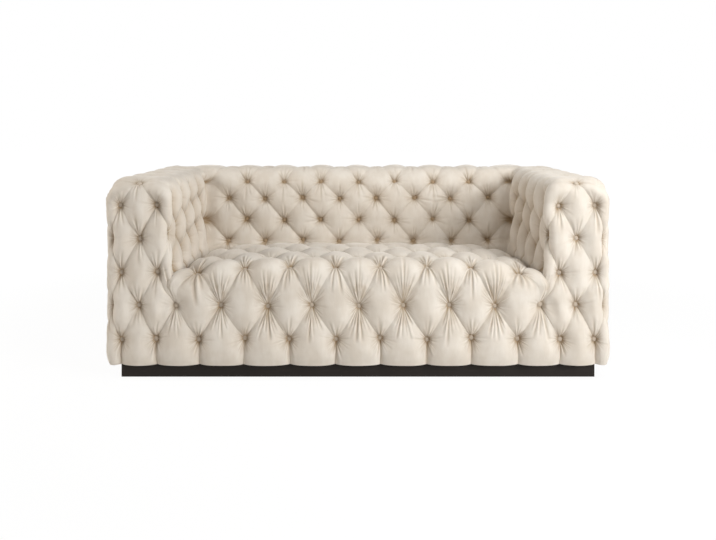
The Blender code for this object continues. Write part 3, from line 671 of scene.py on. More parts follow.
@dataclass(frozen=True)
class WallForm(Form):
    """Both arms and the back."""

    tight_radius: float = 0.004
    tight_top: float = 0.285
    full_from: float = 0.355
    valley_width: float = 0.035
    corner_room: float = 0.012
    corner_rise: float = 0.07
    edge_room: float = 0.01
    edge_fade: float = 0.05
    front_room: float = 0.03
    front_fade: float = 0.06
    valley_room: float = 0.05
    valley_fade: float = 0.04
    top_room: float = 0.07
    pressed_room: float = 0.03
    pressed_top: float = 0.385
    pressed_fade: float = 0.040

    def front_radius(self, x: Array, z: Array) -> Array:
        """Rounding of the arms' front edges, tight where the seat's front runs on."""
        s = self.sizes
        inner_side = falling(x, s.inner_x, 0.5 * s.arm)
        low = falling(z, self.tight_top, self.full_from - self.tight_top)
        return s.front_radius - (s.front_radius - self.tight_radius) * inner_side * low

    def valley_slope(self, points: Array) -> Array:
        """The outward direction, turned evenly from arm to back in the valleys between them."""
        s = self.sizes
        x, y = np.abs(points[:, 0]), points[:, 1]
        beside, ahead = s.inner_x - x, s.inner_y - y
        slope = self.slope(points)
        level = np.hypot(slope[:, 0], slope[:, 1])
        share = smooth(0.5 + (beside - ahead) / (2.0 * self.valley_width))
        turned = np.stack([-np.sign(points[:, 0]) * (1.0 - share), -share], axis=1)
        turned *= (level / np.linalg.norm(turned, axis=1))[:, None]
        inner_side = np.minimum(beside, ahead) > np.maximum(x - s.outer_x, y - s.rear_y)
        valley = inner_side & (np.abs(beside - ahead) < self.valley_width)
        slope[valley, :2] = turned[valley]
        return slope

    def pull(self, points: Array) -> Array:
        """Straight back on the arms' low inner corners, which run on into the seat's front."""
        s = self.sizes
        x, y, z = np.abs(points[:, 0]), points[:, 1], points[:, 2]
        low = falling(z, self.tight_top + self.edge_room, self.corner_rise)
        ahead = falling(y, s.front_y + self.corner_room, self.edge_fade)
        beside = falling(x, s.inner_x + self.edge_room, self.edge_fade)
        share = (low * ahead * beside)[:, None]
        mixed = mix(self.valley_slope(points), np.array((0.0, -1.0, 0.0)), share)
        return mixed / np.linalg.norm(mixed, axis=1, keepdims=True)

    def facing_inward(self, points: Array) -> Array:
        """1 on an arm's side that faces the sitter, 0 elsewhere."""
        s = self.sizes
        x, y, z = np.abs(points[:, 0]), points[:, 1], points[:, 2]
        beside = falling(x, s.inner_x, self.edge_fade)
        behind = rising(y, s.front_y + self.front_room, self.front_fade)
        ahead = falling(y, s.inner_y - self.valley_room, self.valley_fade)
        return beside * behind * ahead * falling(z, s.height - self.top_room, self.edge_fade)

    def facing_front(self, points: Array) -> Array:
        """1 on the side of the back that faces the sitter, 0 elsewhere."""
        s = self.sizes
        x, y, z = np.abs(points[:, 0]), points[:, 1], points[:, 2]
        between = falling(x, s.inner_x - self.valley_room, self.edge_fade)
        ahead = falling(y, s.inner_y + self.edge_room, self.edge_fade)
        behind = rising(y, s.inner_y - self.valley_room, self.valley_fade)
        return between * ahead * behind * falling(z, s.height - self.top_room, self.edge_fade)

    def pressed_flat(self, points: Array) -> Array:
        """1 on the inner sides below the seat's top, 0 elsewhere."""
        s = self.sizes
        x, y, z = np.abs(points[:, 0]), points[:, 1], points[:, 2]
        gaps = np.minimum(s.inner_x - x, s.inner_y - y)
        inward = rising(gaps, -self.pressed_room, self.pressed_room)
        behind = rising(y, s.front_y + self.front_room, self.front_fade)
        return inward * behind * falling(z, self.pressed_top, self.pressed_fade)

    def distance(self, points: Array) -> Array:
        """Signed distance to the wall's surface."""
        s = self.sizes
        x, y, z = np.abs(points[:, 0]), points[:, 1], points[:, 2]
        outer = rounded_corner(x - s.outer_x, y - s.rear_y, s.rear_radius)
        inner = np.minimum(s.inner_x - x, s.inner_y - y)
        sides = rounded_corner(np.maximum(outer, inner), z - s.height, s.top_radius)
        return rounded_corner(sides, s.front_y - y, self.front_radius(x, z))


@dataclass(frozen=True)
class SeatForm(Form):
    """The crowned seat with its front fall."""

    side_power: int = 6
    rear_power: int = 3
    spread: float = 0.042
    spread_from: float = 0.55
    spread_low: float = 0.275
    spread_peak: float = 0.36
    spread_high: float = 0.45
    spread_room: float = 0.02
    spread_depth: float = 0.11
    tuck_rise: float = 0.06

    def beside_neighbours(self, points: Array, width: float) -> Array:
        """1 along the seat's sides above the arms' low fronts and along its rear."""
        s = self.sizes
        raised = rising(points[:, 2], self.spread_low + self.spread_room, self.tuck_rise)
        gaps = np.minimum(s.inner_x - np.abs(points[:, 0]), s.inner_y - points[:, 1])
        return raised * bell(np.maximum(gaps, 0.0), width)

    def top(self, x: Array, y: Array) -> Array:
        """Height of the crowned top."""
        s = self.sizes
        back_share = np.maximum((y - s.front_y) / (s.inner_y - s.front_y), 0.0)
        side_share = np.abs(x / s.inner_x)
        rear_drop = s.seat_rear_drop * back_share**self.rear_power
        return s.seat_height - rear_drop - s.seat_side_drop * side_share**self.side_power

    def squeezed(self, points: Array) -> Array:
        """The front corners of the seat swell over the arms' rounded edges."""
        s = self.sizes
        x, y, z = points[:, 0], points[:, 1], points[:, 2]
        beside = rising(np.abs(x), self.spread_from, s.inner_x - self.spread_from)
        level = rising(z, self.spread_low, self.spread_peak - self.spread_low)
        level *= falling(z, self.spread_peak, self.spread_high - self.spread_peak)
        forward = falling(y, s.front_y + self.spread_room, self.spread_depth)
        points = points.copy()
        points[:, 0] += np.sign(x) * self.spread * beside * level * forward
        return points

    def distance(self, points: Array) -> Array:
        """Signed distance to the seat's top and front."""
        x, y, z = points[:, 0], points[:, 1], points[:, 2]
        s = self.sizes
        return rounded_corner(z - self.top(x, y), s.front_y - y, s.seat_radius)

    def slope(self, points: Array) -> Array:
        """Forwards on the front, upwards on the top, so the rim stays on its lines."""
        s = self.sizes
        x, y, z = points[:, 0], points[:, 1], points[:, 2]
        up = z - self.top(x, y) + s.seat_radius
        forward = s.front_y - y + s.seat_radius
        rounded = (up > 0) & (forward > 0)
        slope = np.zeros_like(points)
        slope[:, 1] = -np.where(rounded, forward, forward > up)
        slope[:, 2] = np.where(rounded, up, forward <= up)
        return slope / np.linalg.norm(slope, axis=1, keepdims=True)


# Buttons, creases and the pillows between them


class Section(Enum):
    """The four padded parts of the sofa."""

    LEFT_ARM = "left_arm"
    RIGHT_ARM = "right_arm"
    BACK = "back"
    SEAT = "seat"


@dataclass(frozen=True)
class Gathers:
    """Fine folds that run out from a button."""

    up: int = 4
    down: int = 3
    side: int = 4
    up_spread: float = 0.50
    down_spread: float = 0.45
    side_spread: float = 0.85
    up_length: tuple[float, float] = (0.050, 0.115)
    down_length: tuple[float, float] = (0.050, 0.115)
    side_length: tuple[float, float] = (0.038, 0.085)
    steepness: float = 2.1
    down_share: float = 1.0
    side_share: float = 0.75
    width: float = 0.0016
    fullness: float = 0.28
    widest: float = 0.26
    start: float = 0.010
    fade: float = 1.3
    side_fade: float = 1.6
    fine_fade: float = 0.8
    lip_place: float = 1.7
    lip_share: float = 0.5
    turn_range: tuple[float, float] = (-0.28, 0.28)
    depth_range: tuple[float, float] = (0.45, 1.2)
    width_range: tuple[float, float] = (0.8, 1.25)
    shorter_beside: float = 0.3


HEM_ROW = Gathers(up=4, down=3, side=4, down_spread=0.36, down_length=(0.060, 0.110))
FALL_ROW = Gathers(
    up=7,
    down=6,
    side=3,
    up_spread=0.36,
    down_spread=0.50,
    up_length=(0.130, 0.205),
    down_length=(0.085, 0.165),
    steepness=2.4,
    side_share=0.45,
    fade=0.9,
)
NOSE_ROW = Gathers(
    up=7,
    down=5,
    side=2,
    up_spread=0.85,
    down_spread=0.55,
    up_length=(0.060, 0.110),
    down_length=(0.080, 0.150),
    steepness=3.9,
    down_share=0.6,
    side_share=0.35,
    fade=1.0,
)
ARM_ROWS = Gathers()
VALLEY_ROWS = Gathers(steepness=0.6)
CREST_ROW = Gathers(
    up=6,
    down=3,
    side=3,
    up_spread=0.65,
    up_length=(0.055, 0.105),
    side_length=(0.040, 0.090),
    steepness=3.0,
    down_share=0.45,
    side_share=0.5,
    width=0.0019,
    fade=1.1,
)
BACK_ROWS = Gathers(
    up=5,
    down=3,
    side=4,
    up_length=(0.045, 0.100),
    down_length=(0.035, 0.080),
    side_length=(0.045, 0.110),
    steepness=2.4,
    side_share=0.6,
    width=0.0019,
    fullness=0.29,
)
TOP_ROWS = Gathers(up=5, down=3, side=4, up_length=(0.040, 0.085), steepness=2.3)


@dataclass
class Button:
    """A covered button and the folds round it."""

    place: Array
    normal: Array
    section: Section
    gathers: Gathers
    hidden: bool = False
    level_limit: float = 0.85
    across: Array = field(init=False)
    upward: Array = field(init=False)
    rays: Array = field(init=False)

    def __post_init__(self) -> None:
        """Sets the button's own axes and draws its folds."""
        axis = np.eye(3)[2 if abs(self.normal[2]) < self.level_limit else 1]
        upward = axis - self.normal * (axis @ self.normal)
        self.upward = upward / np.linalg.norm(upward)
        self.across = np.cross(self.upward, self.normal)
        self.rays = self.draw_rays()

    def draw_rays(self) -> Array:
        """Draws the folds, the same on each run.

        Returns:
            Angle from upward, length, depth, side of its lip, widening and fading of each fold.
        """
        style = self.gathers
        chance = chance_at(self.place)
        rays = []
        sideways = (style.side_spread, style.side_length, style.side_share, style.side_fade)
        groups = (
            (style.up, 0.0, style.up_spread, style.up_length, 1.0, style.fade),
            (style.down, math.pi, style.down_spread, style.down_length, style.down_share, style.fade),
            (style.side, math.pi / 2, *sideways),
            (style.side, -math.pi / 2, *sideways),
        )
        for count, middle, spread, lengths, strength, fade in groups:
            gap = 2.0 * spread / count
            for index in range(count):
                share = (index + 0.5) / count * 2.0 - 1.0
                angle = middle + spread * share + gap * chance.uniform(*style.turn_range)
                length = chance.uniform(*lengths) * (1.0 - style.shorter_beside * abs(share))
                depth = style.steepness * strength * chance.uniform(*style.depth_range)
                widening = style.fullness * min(gap, style.widest) * chance.uniform(*style.width_range)
                rays.append((angle, length, depth, chance.choice((-1.0, 1.0)), widening, fade))
        return np.array(rays)

    @property
    def reach(self) -> float:
        """How far the longest fold runs."""
        return float(self.rays[:, 1].max())

    def on_plane(self, points: Array) -> tuple[Array, Array]:
        """Places on the button's own plane, across and upward."""
        offset = points - self.place
        return offset @ self.across, offset @ self.upward

    def fold_depths(self, points: Array) -> Array:
        """How deep the folds lie at each point."""
        style = self.gathers
        a, b = self.on_plane(points)
        angles, lengths, depths, sides, widening, fades = self.rays.T
        sines, cosines = np.sin(angles), np.cos(angles)
        along = a[:, None] * sines + b[:, None] * cosines
        beside = a[:, None] * cosines - b[:, None] * sines
        spread = widening * np.maximum(along, 0.0)
        width = np.hypot(style.width, spread)
        groove = bell(beside, width)
        lip = bell(beside - style.lip_place * width * sides, width)
        window = smooth((along - 0.5 * style.start) / style.start)
        away = np.linalg.norm(points - self.place, axis=1)[:, None]
        window = window * (1.0 - np.clip(away / lengths, 0.0, 1.0)) ** fades
        return ((groove - style.lip_share * lip) * window * depths * spread).sum(axis=1)

    def fold_strength(self, points: Array) -> Array:
        """How strong the finest folds are at each point, from 0 to 1."""
        style = self.gathers
        _, b = self.on_plane(points)
        radius = np.maximum(np.linalg.norm(points - self.place, axis=1), 1e-6)
        lengths = np.where(b > 0, style.up_length[0], style.down_length[0])
        reach = mix(style.side_length[0], lengths, (b / radius) ** 2)
        near = np.clip(1.0 - radius / reach, 0.0, 1.0) ** style.fine_fade
        return near * smooth(radius / style.start)


@dataclass(frozen=True)
class Patch:
    """Part of one pillow between four corners on the smooth body."""

    corners: tuple[Array, Array, Array, Array]
    section: Section


def key_of(point: Array) -> tuple[int, int, int]:
    """A name for a place, the same for places closer than rounding."""
    return tuple(int(value) for value in np.round(point / PLACE_STEP + PLACE_SHIFT))


@dataclass(frozen=True)
class TuftStyle:
    """Depths and widths of the buttoning, and how much painted shade goes with it."""

    reach: float = 0.076
    swell: float = 2.2
    pillow_depth: float = 0.0135
    pillow_extra: float = 0.0080
    hem_pillow: float = 0.0090
    pillow_spread: float = 0.056
    crease_reach: float = 0.020
    crease_swell: float = 1.9
    crease_depth: float = 0.0038
    crease_extra: float = 0.0085
    crease_spread: float = 0.032
    dimple: float = 0.0075
    dimple_radius: float = 0.027
    crease_firmness: tuple[float, float] = (0.15, 1.0)
    fall_firmness: float = 0.30
    back_calm: float = 0.35
    inside_depth: float = 0.0160
    inside_calm: float = 0.60
    # Painted shade on the arms' inner sides.
    inside_shade: float = 0.72
    inside_firmness: float = 0.80
    side_tuck: float = 0.012
    side_tuck_width: float = 0.013
    # Painted shade along the side tucked in beside a neighbour.
    side_shade: float = 0.9
    pressed_calm: float = 0.95
    pit: float = 0.0060
    pit_radius: float = 0.0125
    top_from: float = 0.700
    top_full: float = 0.748
    top_share: float = 0.55
    slump: float = 0.20
    jitter: float = 0.003
    hem_share: float = 0.90
    hem_fade: float = 0.070
    hem_tuck: float = 0.017
    hem_tuck_rise: float = 0.085
    # Painted shade in the pits, near pleats, in creases and in the folds' grooves.
    pit_shade: float = 0.72
    pleat_shade: float = 0.45
    pleat_shade_radius: float = 0.027
    crease_shade: float = 0.22
    fold_shade: float = 150.0
    fold_reach: float = 0.21
    fold_gap: float = 0.035
    fold_clip: tuple[float, float] = (-0.001, 0.0036)
    top_folds: float = 0.8
    # How the painted shade on the arms' inner sides falls off away from the creases.
    inside_shade_fade: float = 1.6
    hem_tuck_fade: float = 2.2
    lump: float = 0.0011


class Cover:
    """A buttoned cover over a form."""

    unevenness = ((127.0, 61.0, 311.0), (211.0, -93.0, 157.0), (89.0, 173.0, -229.0))

    def __init__(self, form: Form, style: TuftStyle) -> None:
        """Starts without buttons."""
        self.form = form
        self.style = style
        self.buttons: dict[tuple[int, int, int], Button] = {}
        self.creases: dict[tuple, tuple[Array, Array]] = {}
        self.patches: list[Patch] = []
        self.section = Section.BACK
        self.gathers = ARM_ROWS

    def jittered(self, place: Place, level: bool) -> Array:
        """Place with a maker's small unevenness, the same for the same place."""
        x, y, z = place
        turns = [a * x + b * y + c * z + start for start, (a, b, c) in enumerate(self.unevenness)]
        shift = np.array([math.sin(turn) for turn in turns])
        if level:
            shift[2] = 0.0
        return np.array(place) + self.style.jitter * shift

    def edge_point(self, place: Place) -> Array:
        """A corner of a patch that has no button."""
        return self.form.settle([self.jittered(place, True)])[0]

    def button(self, place: Place, hidden: bool = False) -> Array:
        """Puts a button at the surface point nearest to place.

        Args:
            place: About where it goes.
            hidden: Whether the cover is only stitched down there, out of sight.

        Returns:
            Where it went.
        """
        point = self.form.settle([self.jittered(place, False)])[0]
        normal = self.form.pull(point[None])[0]
        button = Button(point, normal, self.section, self.gathers, hidden)
        self.buttons.setdefault(key_of(point), button)
        return point

    def crease(self, start: Array, end: Array) -> None:
        """Draws the cover in from start to end."""
        self.creases[tuple(sorted((key_of(start), key_of(end))))] = (start, end)

    def diamond(self, *corners: Array) -> None:
        """A pillow with a crease along each side."""
        for start, end in zip(corners, corners[1:] + corners[:1]):
            self.crease(start, end)
        self.patches.append(Patch(corners, self.section))

    def triangle(self, first: Array, middle: Array, last: Array) -> None:
        """Half a pillow, cut off along the line from last to first."""
        self.crease(first, middle)
        self.crease(middle, last)
        self.patches.append(Patch((first, middle, last, last), self.section))

    def skirt(
        self, top: Array, sides: tuple[Array, Array], low: list[Array], middle: Array | None = None
    ) -> None:
        """The pillow between two pleats that run down to an edge.

        Args:
            top: The button above it.
            sides: The buttons at the pleats' upper ends.
            low: Three points of the edge.
            middle: Where the pillow is divided, if it is to be finer.
        """
        left, right = sides
        for start, end in ((top, left), (top, right), (left, low[0]), (right, low[2])):
            self.crease(start, end)
        if middle is not None:
            self.patches.append(Patch((top, left, middle, right), self.section))
            top = middle
        self.patches.append(Patch((top, left, low[0], low[1]), self.section))
        self.patches.append(Patch((top, low[1], low[2], right), self.section))

    def half_skirt(
        self,
        top: Array,
        side: Array,
        low_side: Array,
        low_top: Array,
        middle: Array | None = None,
    ) -> None:
        """One half of a skirt."""
        self.crease(top, side)
        self.crease(side, low_side)
        if middle is not None:
            self.patches.append(Patch((top, side, middle, middle), self.section))
            top = middle
        self.patches.append(Patch((top, side, low_side, low_top), self.section))


class WallLattice:
    """The buttoning of both arms and the back, outside and inside."""

    rows = 5
    first_row_rise = 0.096
    last_row_drop = 0.106
    ridge_inset = 0.02
    hem_middle_rise = 0.033
    inner_middle_drop = 0.095
    corner_back = 0.034
    corner_rise = 0.014
    front = 4
    front_shares = (0.0, 0.265, 0.50, 0.755, 1.0)
    side = 12
    arm_inner = 9
    back_outer = 22
    back_inner = 16
    shoulder_drops = (0.095, 0.228, 0.335)
    valley_drops = (0.061, 0.146, 0.245, 0.341)

    def __init__(self, form: WallForm, style: TuftStyle) -> None:
        """Lays the lattice out on the form."""
        self.sizes = form.sizes
        self.cover = Cover(form, style)
        s = self.sizes
        first = s.hem + self.first_row_rise
        pitch = (s.height - self.last_row_drop - first) / (self.rows - 1)
        self.heights = [first + pitch * row for row in range(self.rows)]
        self.columns = 2 * (self.front + self.side) + self.back_outer
        self.outer: dict[tuple[int, int], Array] = {}
        self.ridge: dict[tuple[str, int, int], Array] = {}
        self.lay_outer_points()
        self.lay_ridge()
        self.lay_outer_patches()
        for sign in (-1, 1):
            self.lay_arm_inside(sign)
        self.lay_back_inside()

    def outer_place(self, column: int) -> tuple[float, float]:
        """Plan position of a column of the outer band, from the left arm's inner front edge."""
        s = self.sizes
        corner = self.front + self.side
        if column > corner + self.back_outer / 2:
            x, y = self.outer_place(2 * corner + self.back_outer - column)
            return -x, y
        if column <= self.front:
            return mix(-s.inner_x, -s.outer_x, self.front_shares[column]), s.front_y
        if column <= corner:
            return -s.outer_x, mix(s.front_y, s.rear_y, (column - self.front) / self.side)
        return mix(-s.outer_x, s.outer_x, (column - corner) / self.back_outer), s.rear_y

    def outer_section(self, column: int) -> Section:
        """Which part a column of the outer band belongs to."""
        corner = self.front + self.side
        if column < corner:
            return Section.LEFT_ARM
        return Section.RIGHT_ARM if column > corner + self.back_outer else Section.BACK

    def lay_outer_points(self) -> None:
        """Buttons and hem points of the outer band."""
        for column in range(self.columns + 1):
            x, y = self.outer_place(column)
            self.cover.section = self.outer_section(column)
            self.outer[-1, column] = self.cover.edge_point((x, y, self.sizes.hem))
            for row, height in enumerate(self.heights):
                if (row + column) % 2:
                    self.cover.gathers = HEM_ROW if row == 0 else ARM_ROWS
                    place = (x, y, height)
                    if row == 3 and column in (0, self.columns):
                        place = (x, y + self.corner_back, height + self.corner_rise)
                    self.outer[row, column] = self.cover.button(place)

    def lay_ridge(self) -> None:
        """The single row of buttons along the top."""
        s = self.sizes
        ridge_x = (s.outer_x + s.inner_x) / 2
        ridge_y = (s.rear_y + s.inner_y) / 2
        self.cover.gathers = TOP_ROWS
        for sign, section in ((-1, Section.LEFT_ARM), (1, Section.RIGHT_ARM)):
            self.cover.section = section
            for place in range(0, self.side - 1, 2):
                y = mix(s.front_y + self.ridge_inset, ridge_y, place / (self.side - 2))
                spot = (sign * ridge_x, y, s.height)
                self.ridge["arm", sign, place] = self.cover.button(spot)
        self.cover.section = Section.BACK
        for place in range(1, self.back_inner, 2):
            x = mix(-s.inner_x, s.inner_x, place / self.back_inner)
            self.ridge["back", 0, place] = self.cover.button((x, ridge_y, s.height))

    def ridge_name(self, column: int) -> tuple[str, int, int]:
        """Which button of the ridge a column of the outer band leads to."""
        corner = self.front + self.side
        if column > corner + self.back_outer - 3:
            kind, sign, place = self.ridge_name(self.columns - column)
            return kind, -sign, place
        if column <= self.front:
            return "arm", -1, 0
        if column < corner - 2:
            return "arm", -1, column - self.front
        if column <= corner + 2:
            return "arm", -1, self.side - 2
        return "back", 0, column - corner - 3

    def lay_outer_patches(self) -> None:
        """Pillows and hem skirts of the outer band."""
        outer, cover = self.outer, self.cover
        for column in range(2, self.columns - 1, 2):
            outer[self.rows, column] = self.ridge[self.ridge_name(column)]
        for column in range(1, self.columns):
            cover.section = self.outer_section(column)
            for row in range(1, self.rows):
                if (row + column) % 2 == 0:
                    cover.diamond(
                        outer[row - 1, column],
                        outer[row, column - 1],
                        outer[row + 1, column],
                        outer[row, column + 1],
                    )
            if column % 2 == 0:
                low = [outer[-1, column + shift] for shift in (-1, 0, 1)]
                x, y = self.outer_place(column)
                middle = cover.edge_point((x, y, self.sizes.hem + self.hem_middle_rise))
                sides = (outer[0, column - 1], outer[0, column + 1])
                cover.skirt(outer[1, column], sides, low, middle)
        for corner, inward in ((0, 1), (self.columns, self.columns - 1)):
            cover.section = self.outer_section(corner)
            cover.triangle(outer[1, corner], outer[2, inward], outer[3, corner])
            cover.crease(outer[1, corner], outer[0, inward])
            cover.crease(outer[0, inward], outer[-1, inward])

    def arm_inner_place(self, sign: int, column: int, height: float) -> Place:
        """A place on the side of an arm that faces the sitter."""
        s = self.sizes
        return sign * s.inner_x, mix(s.front_y, s.inner_y, column / self.arm_inner), height

    def lay_arm_inside(self, sign: int) -> None:
        """Top and inner side of an arm. Column 0 is its front edge."""
        cover, outer, ridge = self.cover, self.outer, self.ridge
        cover.section = Section.LEFT_ARM if sign < 0 else Section.RIGHT_ARM
        corner = 0 if sign < 0 else self.columns
        step = 1 if sign < 0 else -1
        last = self.arm_inner
        inner = {(1, 0): outer[3, corner], (3, 0): outer[1, corner]}
        for column in range(1, last + 1):
            cover.gathers = VALLEY_ROWS if column == last else ARM_ROWS
            share = column / last
            for row in range(3):
                if (row + column) % 2:
                    drop = mix(self.shoulder_drops[row], self.valley_drops[row], share)
                    place = self.arm_inner_place(sign, column, self.sizes.height - drop)
                    inner[row, column] = cover.button(place, column == last)
            low = self.arm_inner_place(sign, column, self.heights[1])
            inner[3, column] = cover.edge_point(low)

        cover.diamond(inner[1, 0], outer[4, corner + step], ridge["arm", sign, 0], inner[0, 1])
        for column in range(1, last + 1, 2):
            ends = [ridge["arm", sign, column + shift] for shift in (-1, 1)]
            outside = outer[4, corner + step * (self.front + column)]
            cover.diamond(ends[0], outside, ends[1], inner[0, column])
        for column in range(2, last, 2):
            cover.diamond(
                ridge["arm", sign, column],
                inner[0, column - 1],
                inner[1, column],
                inner[0, column + 1],
            )
            low = [inner[3, column + shift] for shift in (-1, 0, 1)]
            height = inner[2, column - 1][2] - self.inner_middle_drop
            middle = cover.edge_point(self.arm_inner_place(sign, column, height))
            cover.skirt(inner[1, column], (inner[2, column - 1], inner[2, column + 1]), low, middle)
        for column in range(1, last, 2):
            cover.diamond(
                inner[0, column], inner[1, column - 1], inner[2, column], inner[1, column + 1]
            )
        cover.triangle(inner[0, last], inner[1, last - 1], inner[2, last])
        cover.half_skirt(inner[1, 0], inner[2, 1], inner[3, 1], inner[3, 0])

    def back_middle(self, column: int) -> Array:
        """Where a skirt on the front of the back is divided."""
        s = self.sizes
        height = s.height - self.valley_drops[-1] - self.inner_middle_drop
        x = mix(-s.inner_x, s.inner_x, column / self.back_inner)
        return self.cover.edge_point((x, s.inner_y, height))

    def lay_back_inside(self) -> None:
        """Top and front of the back. Columns 0 and the last are the valleys."""
        s = self.sizes
        cover, outer, ridge = self.cover, self.outer, self.ridge
        cover.section = Section.BACK
        last = self.back_inner
        rows = len(self.valley_drops)
        inner = {}
        for column in range(last + 1):
            x = mix(-s.inner_x, s.inner_x, column / last)
            for row in range(rows):
                if (row + column) % 2 == 0:
                    cover.gathers = BACK_ROWS if row else CREST_ROW
                    spot = (x, s.inner_y, s.height - self.valley_drops[row])
                    inner[row, column] = cover.button(spot, column in (0, last))
            inner[rows, column] = cover.edge_point((x, s.inner_y, self.heights[1]))

        tops = {column: ridge["back", 0, column] for column in range(1, last, 2)}
        for sign, column in ((-1, -1), (1, last + 1)):
            tops[column] = ridge["arm", sign, self.side - 2]
        first_outside = self.front + self.side + 3
        for column in range(0, last + 1, 2):
            cover.diamond(
                tops[column - 1], outer[4, first_outside + column], tops[column + 1], inner[0, column]
            )
        for column in range(1, last, 2):
            sides = [(inner[row, column - 1], inner[row, column + 1]) for row in (0, 2)]
            cover.diamond(tops[column], sides[0][0], inner[1, column], sides[0][1])
            cover.diamond(inner[1, column], sides[1][0], inner[3, column], sides[1][1])
        for column in range(2, last, 2):
            cover.diamond(
                inner[0, column], inner[1, column - 1], inner[2, column], inner[1, column + 1]
            )
            low = [inner[rows, column + shift] for shift in (-1, 0, 1)]
            sides = (inner[3, column - 1], inner[3, column + 1])
            cover.skirt(inner[2, column], sides, low, self.back_middle(column))
        for valley, inward in ((0, 1), (last, last - 1)):
            cover.triangle(inner[0, valley], inner[1, inward], inner[2, valley])
            cover.crease(inner[0, valley], inner[2, valley])
            low = (inner[rows, inward], inner[rows, valley])
            cover.half_skirt(inner[2, valley], inner[3, inward], *low, self.back_middle(valley))
            cover.crease(inner[2, valley], inner[rows, valley])


class SeatLattice:
    """The buttoning of the seat, up its front and over its top."""

    columns = 16
    top_rows = 5
    first_top_row = 0.022
    last_top_row = 0.555

    def __init__(self, form: SeatForm, style: TuftStyle, wall: WallLattice) -> None:
        """Lays the lattice out on the form, joined to the arms' lattice at the front."""
        s = form.sizes
        self.cover = cover = Cover(form, style)
        cover.section = Section.SEAT
        last_row = self.top_rows + 1
        lines = {-1: (s.front_y, s.hem), 0: (s.front_y, wall.heights[0])}
        lines[1] = (s.front_y, wall.heights[1])
        for row in range(self.top_rows):
            share = row / (self.top_rows - 1)
            y = s.front_y + mix(self.first_top_row, self.last_top_row, share)
            lines[row + 2] = (y, None)
        lines[last_row + 1] = (s.inner_y, None)
        grid = {}
        for row, (y, height) in lines.items():
            cover.gathers = {0: HEM_ROW, 1: FALL_ROW, 2: NOSE_ROW}.get(row, TOP_ROWS)
            for column in range(self.columns + 1):
                x = mix(-s.inner_x, s.inner_x, column / self.columns)
                z = float(form.top(x, y)) if height is None else height
                if 0 <= row <= last_row and (row + column) % 2:
                    grid[row, column] = cover.button((x, y, z))
                else:
                    grid[row, column] = cover.edge_point((x, y, z))
        self.lay_patches(grid, last_row)
        self.lay_joints(grid, last_row, wall)

    def lay_patches(self, grid: dict[tuple[int, int], Array], last_row: int) -> None:
        """Pillows between the buttons.

        Args:
            grid: Points by row and column.
            last_row: The rearmost row of buttons.
        """
        cover = self.cover
        for column in range(1, self.columns):
            for row in range(1, last_row):
                if (row + column) % 2 == 0:
                    cover.diamond(
                        grid[row - 1, column],
                        grid[row, column - 1],
                        grid[row + 1, column],
                        grid[row, column + 1],
                    )
        ends = ((1, 0, -1), (last_row - 1, last_row, last_row + 1))
        for column in range(2, self.columns, 2):
            for inside, buttons, edge in ends:
                low = [grid[edge, column + shift] for shift in (-1, 0, 1)]
                sides = (grid[buttons, column - 1], grid[buttons, column + 1])
                middle = None
                if edge == -1:
                    middle = grid[edge, column] + (0.0, 0.0, WallLattice.hem_middle_rise)
                cover.skirt(grid[inside, column], sides, low, middle)
        for side, inward in ((0, 1), (self.columns, self.columns - 1)):
            for row in range(2, last_row, 2):
                cover.triangle(grid[row - 1, side], grid[row, inward], grid[row + 1, side])
            rear = (last_row - 1, last_row, last_row + 1)
            cover.half_skirt(
                grid[rear[0], side], grid[rear[1], inward], grid[rear[2], inward], grid[rear[2], side]
            )

    def lay_joints(
        self, grid: dict[tuple[int, int], Array], last_row: int, wall: WallLattice
    ) -> None:
        """The pillows that cross onto the arms' fronts, and the tuck along the seat's sides.

        Args:
            grid: Points by row and column.
            last_row: The rearmost row of buttons.
            wall: The arms' and the back's lattice.
        """
        cover, s = self.cover, self.cover.form.sizes
        ends = ((0, 1, 1, 0), (self.columns, self.columns - 1, wall.columns - 1, wall.columns))
        for side, inward, arm_column, edge in ends:
            x, _ = wall.outer_place(edge)
            low = [wall.outer[-1, arm_column], cover.edge_point((x, s.front_y, s.hem))]
            low.append(grid[-1, inward])
            middle = low[1] + (0.0, 0.0, wall.hem_middle_rise)
            cover.skirt(grid[1, side], (wall.outer[0, arm_column], grid[0, inward]), low, middle)
            for row in range(1, last_row, 2):
                cover.crease(grid[row, side], grid[min(row + 2, last_row + 1), side])


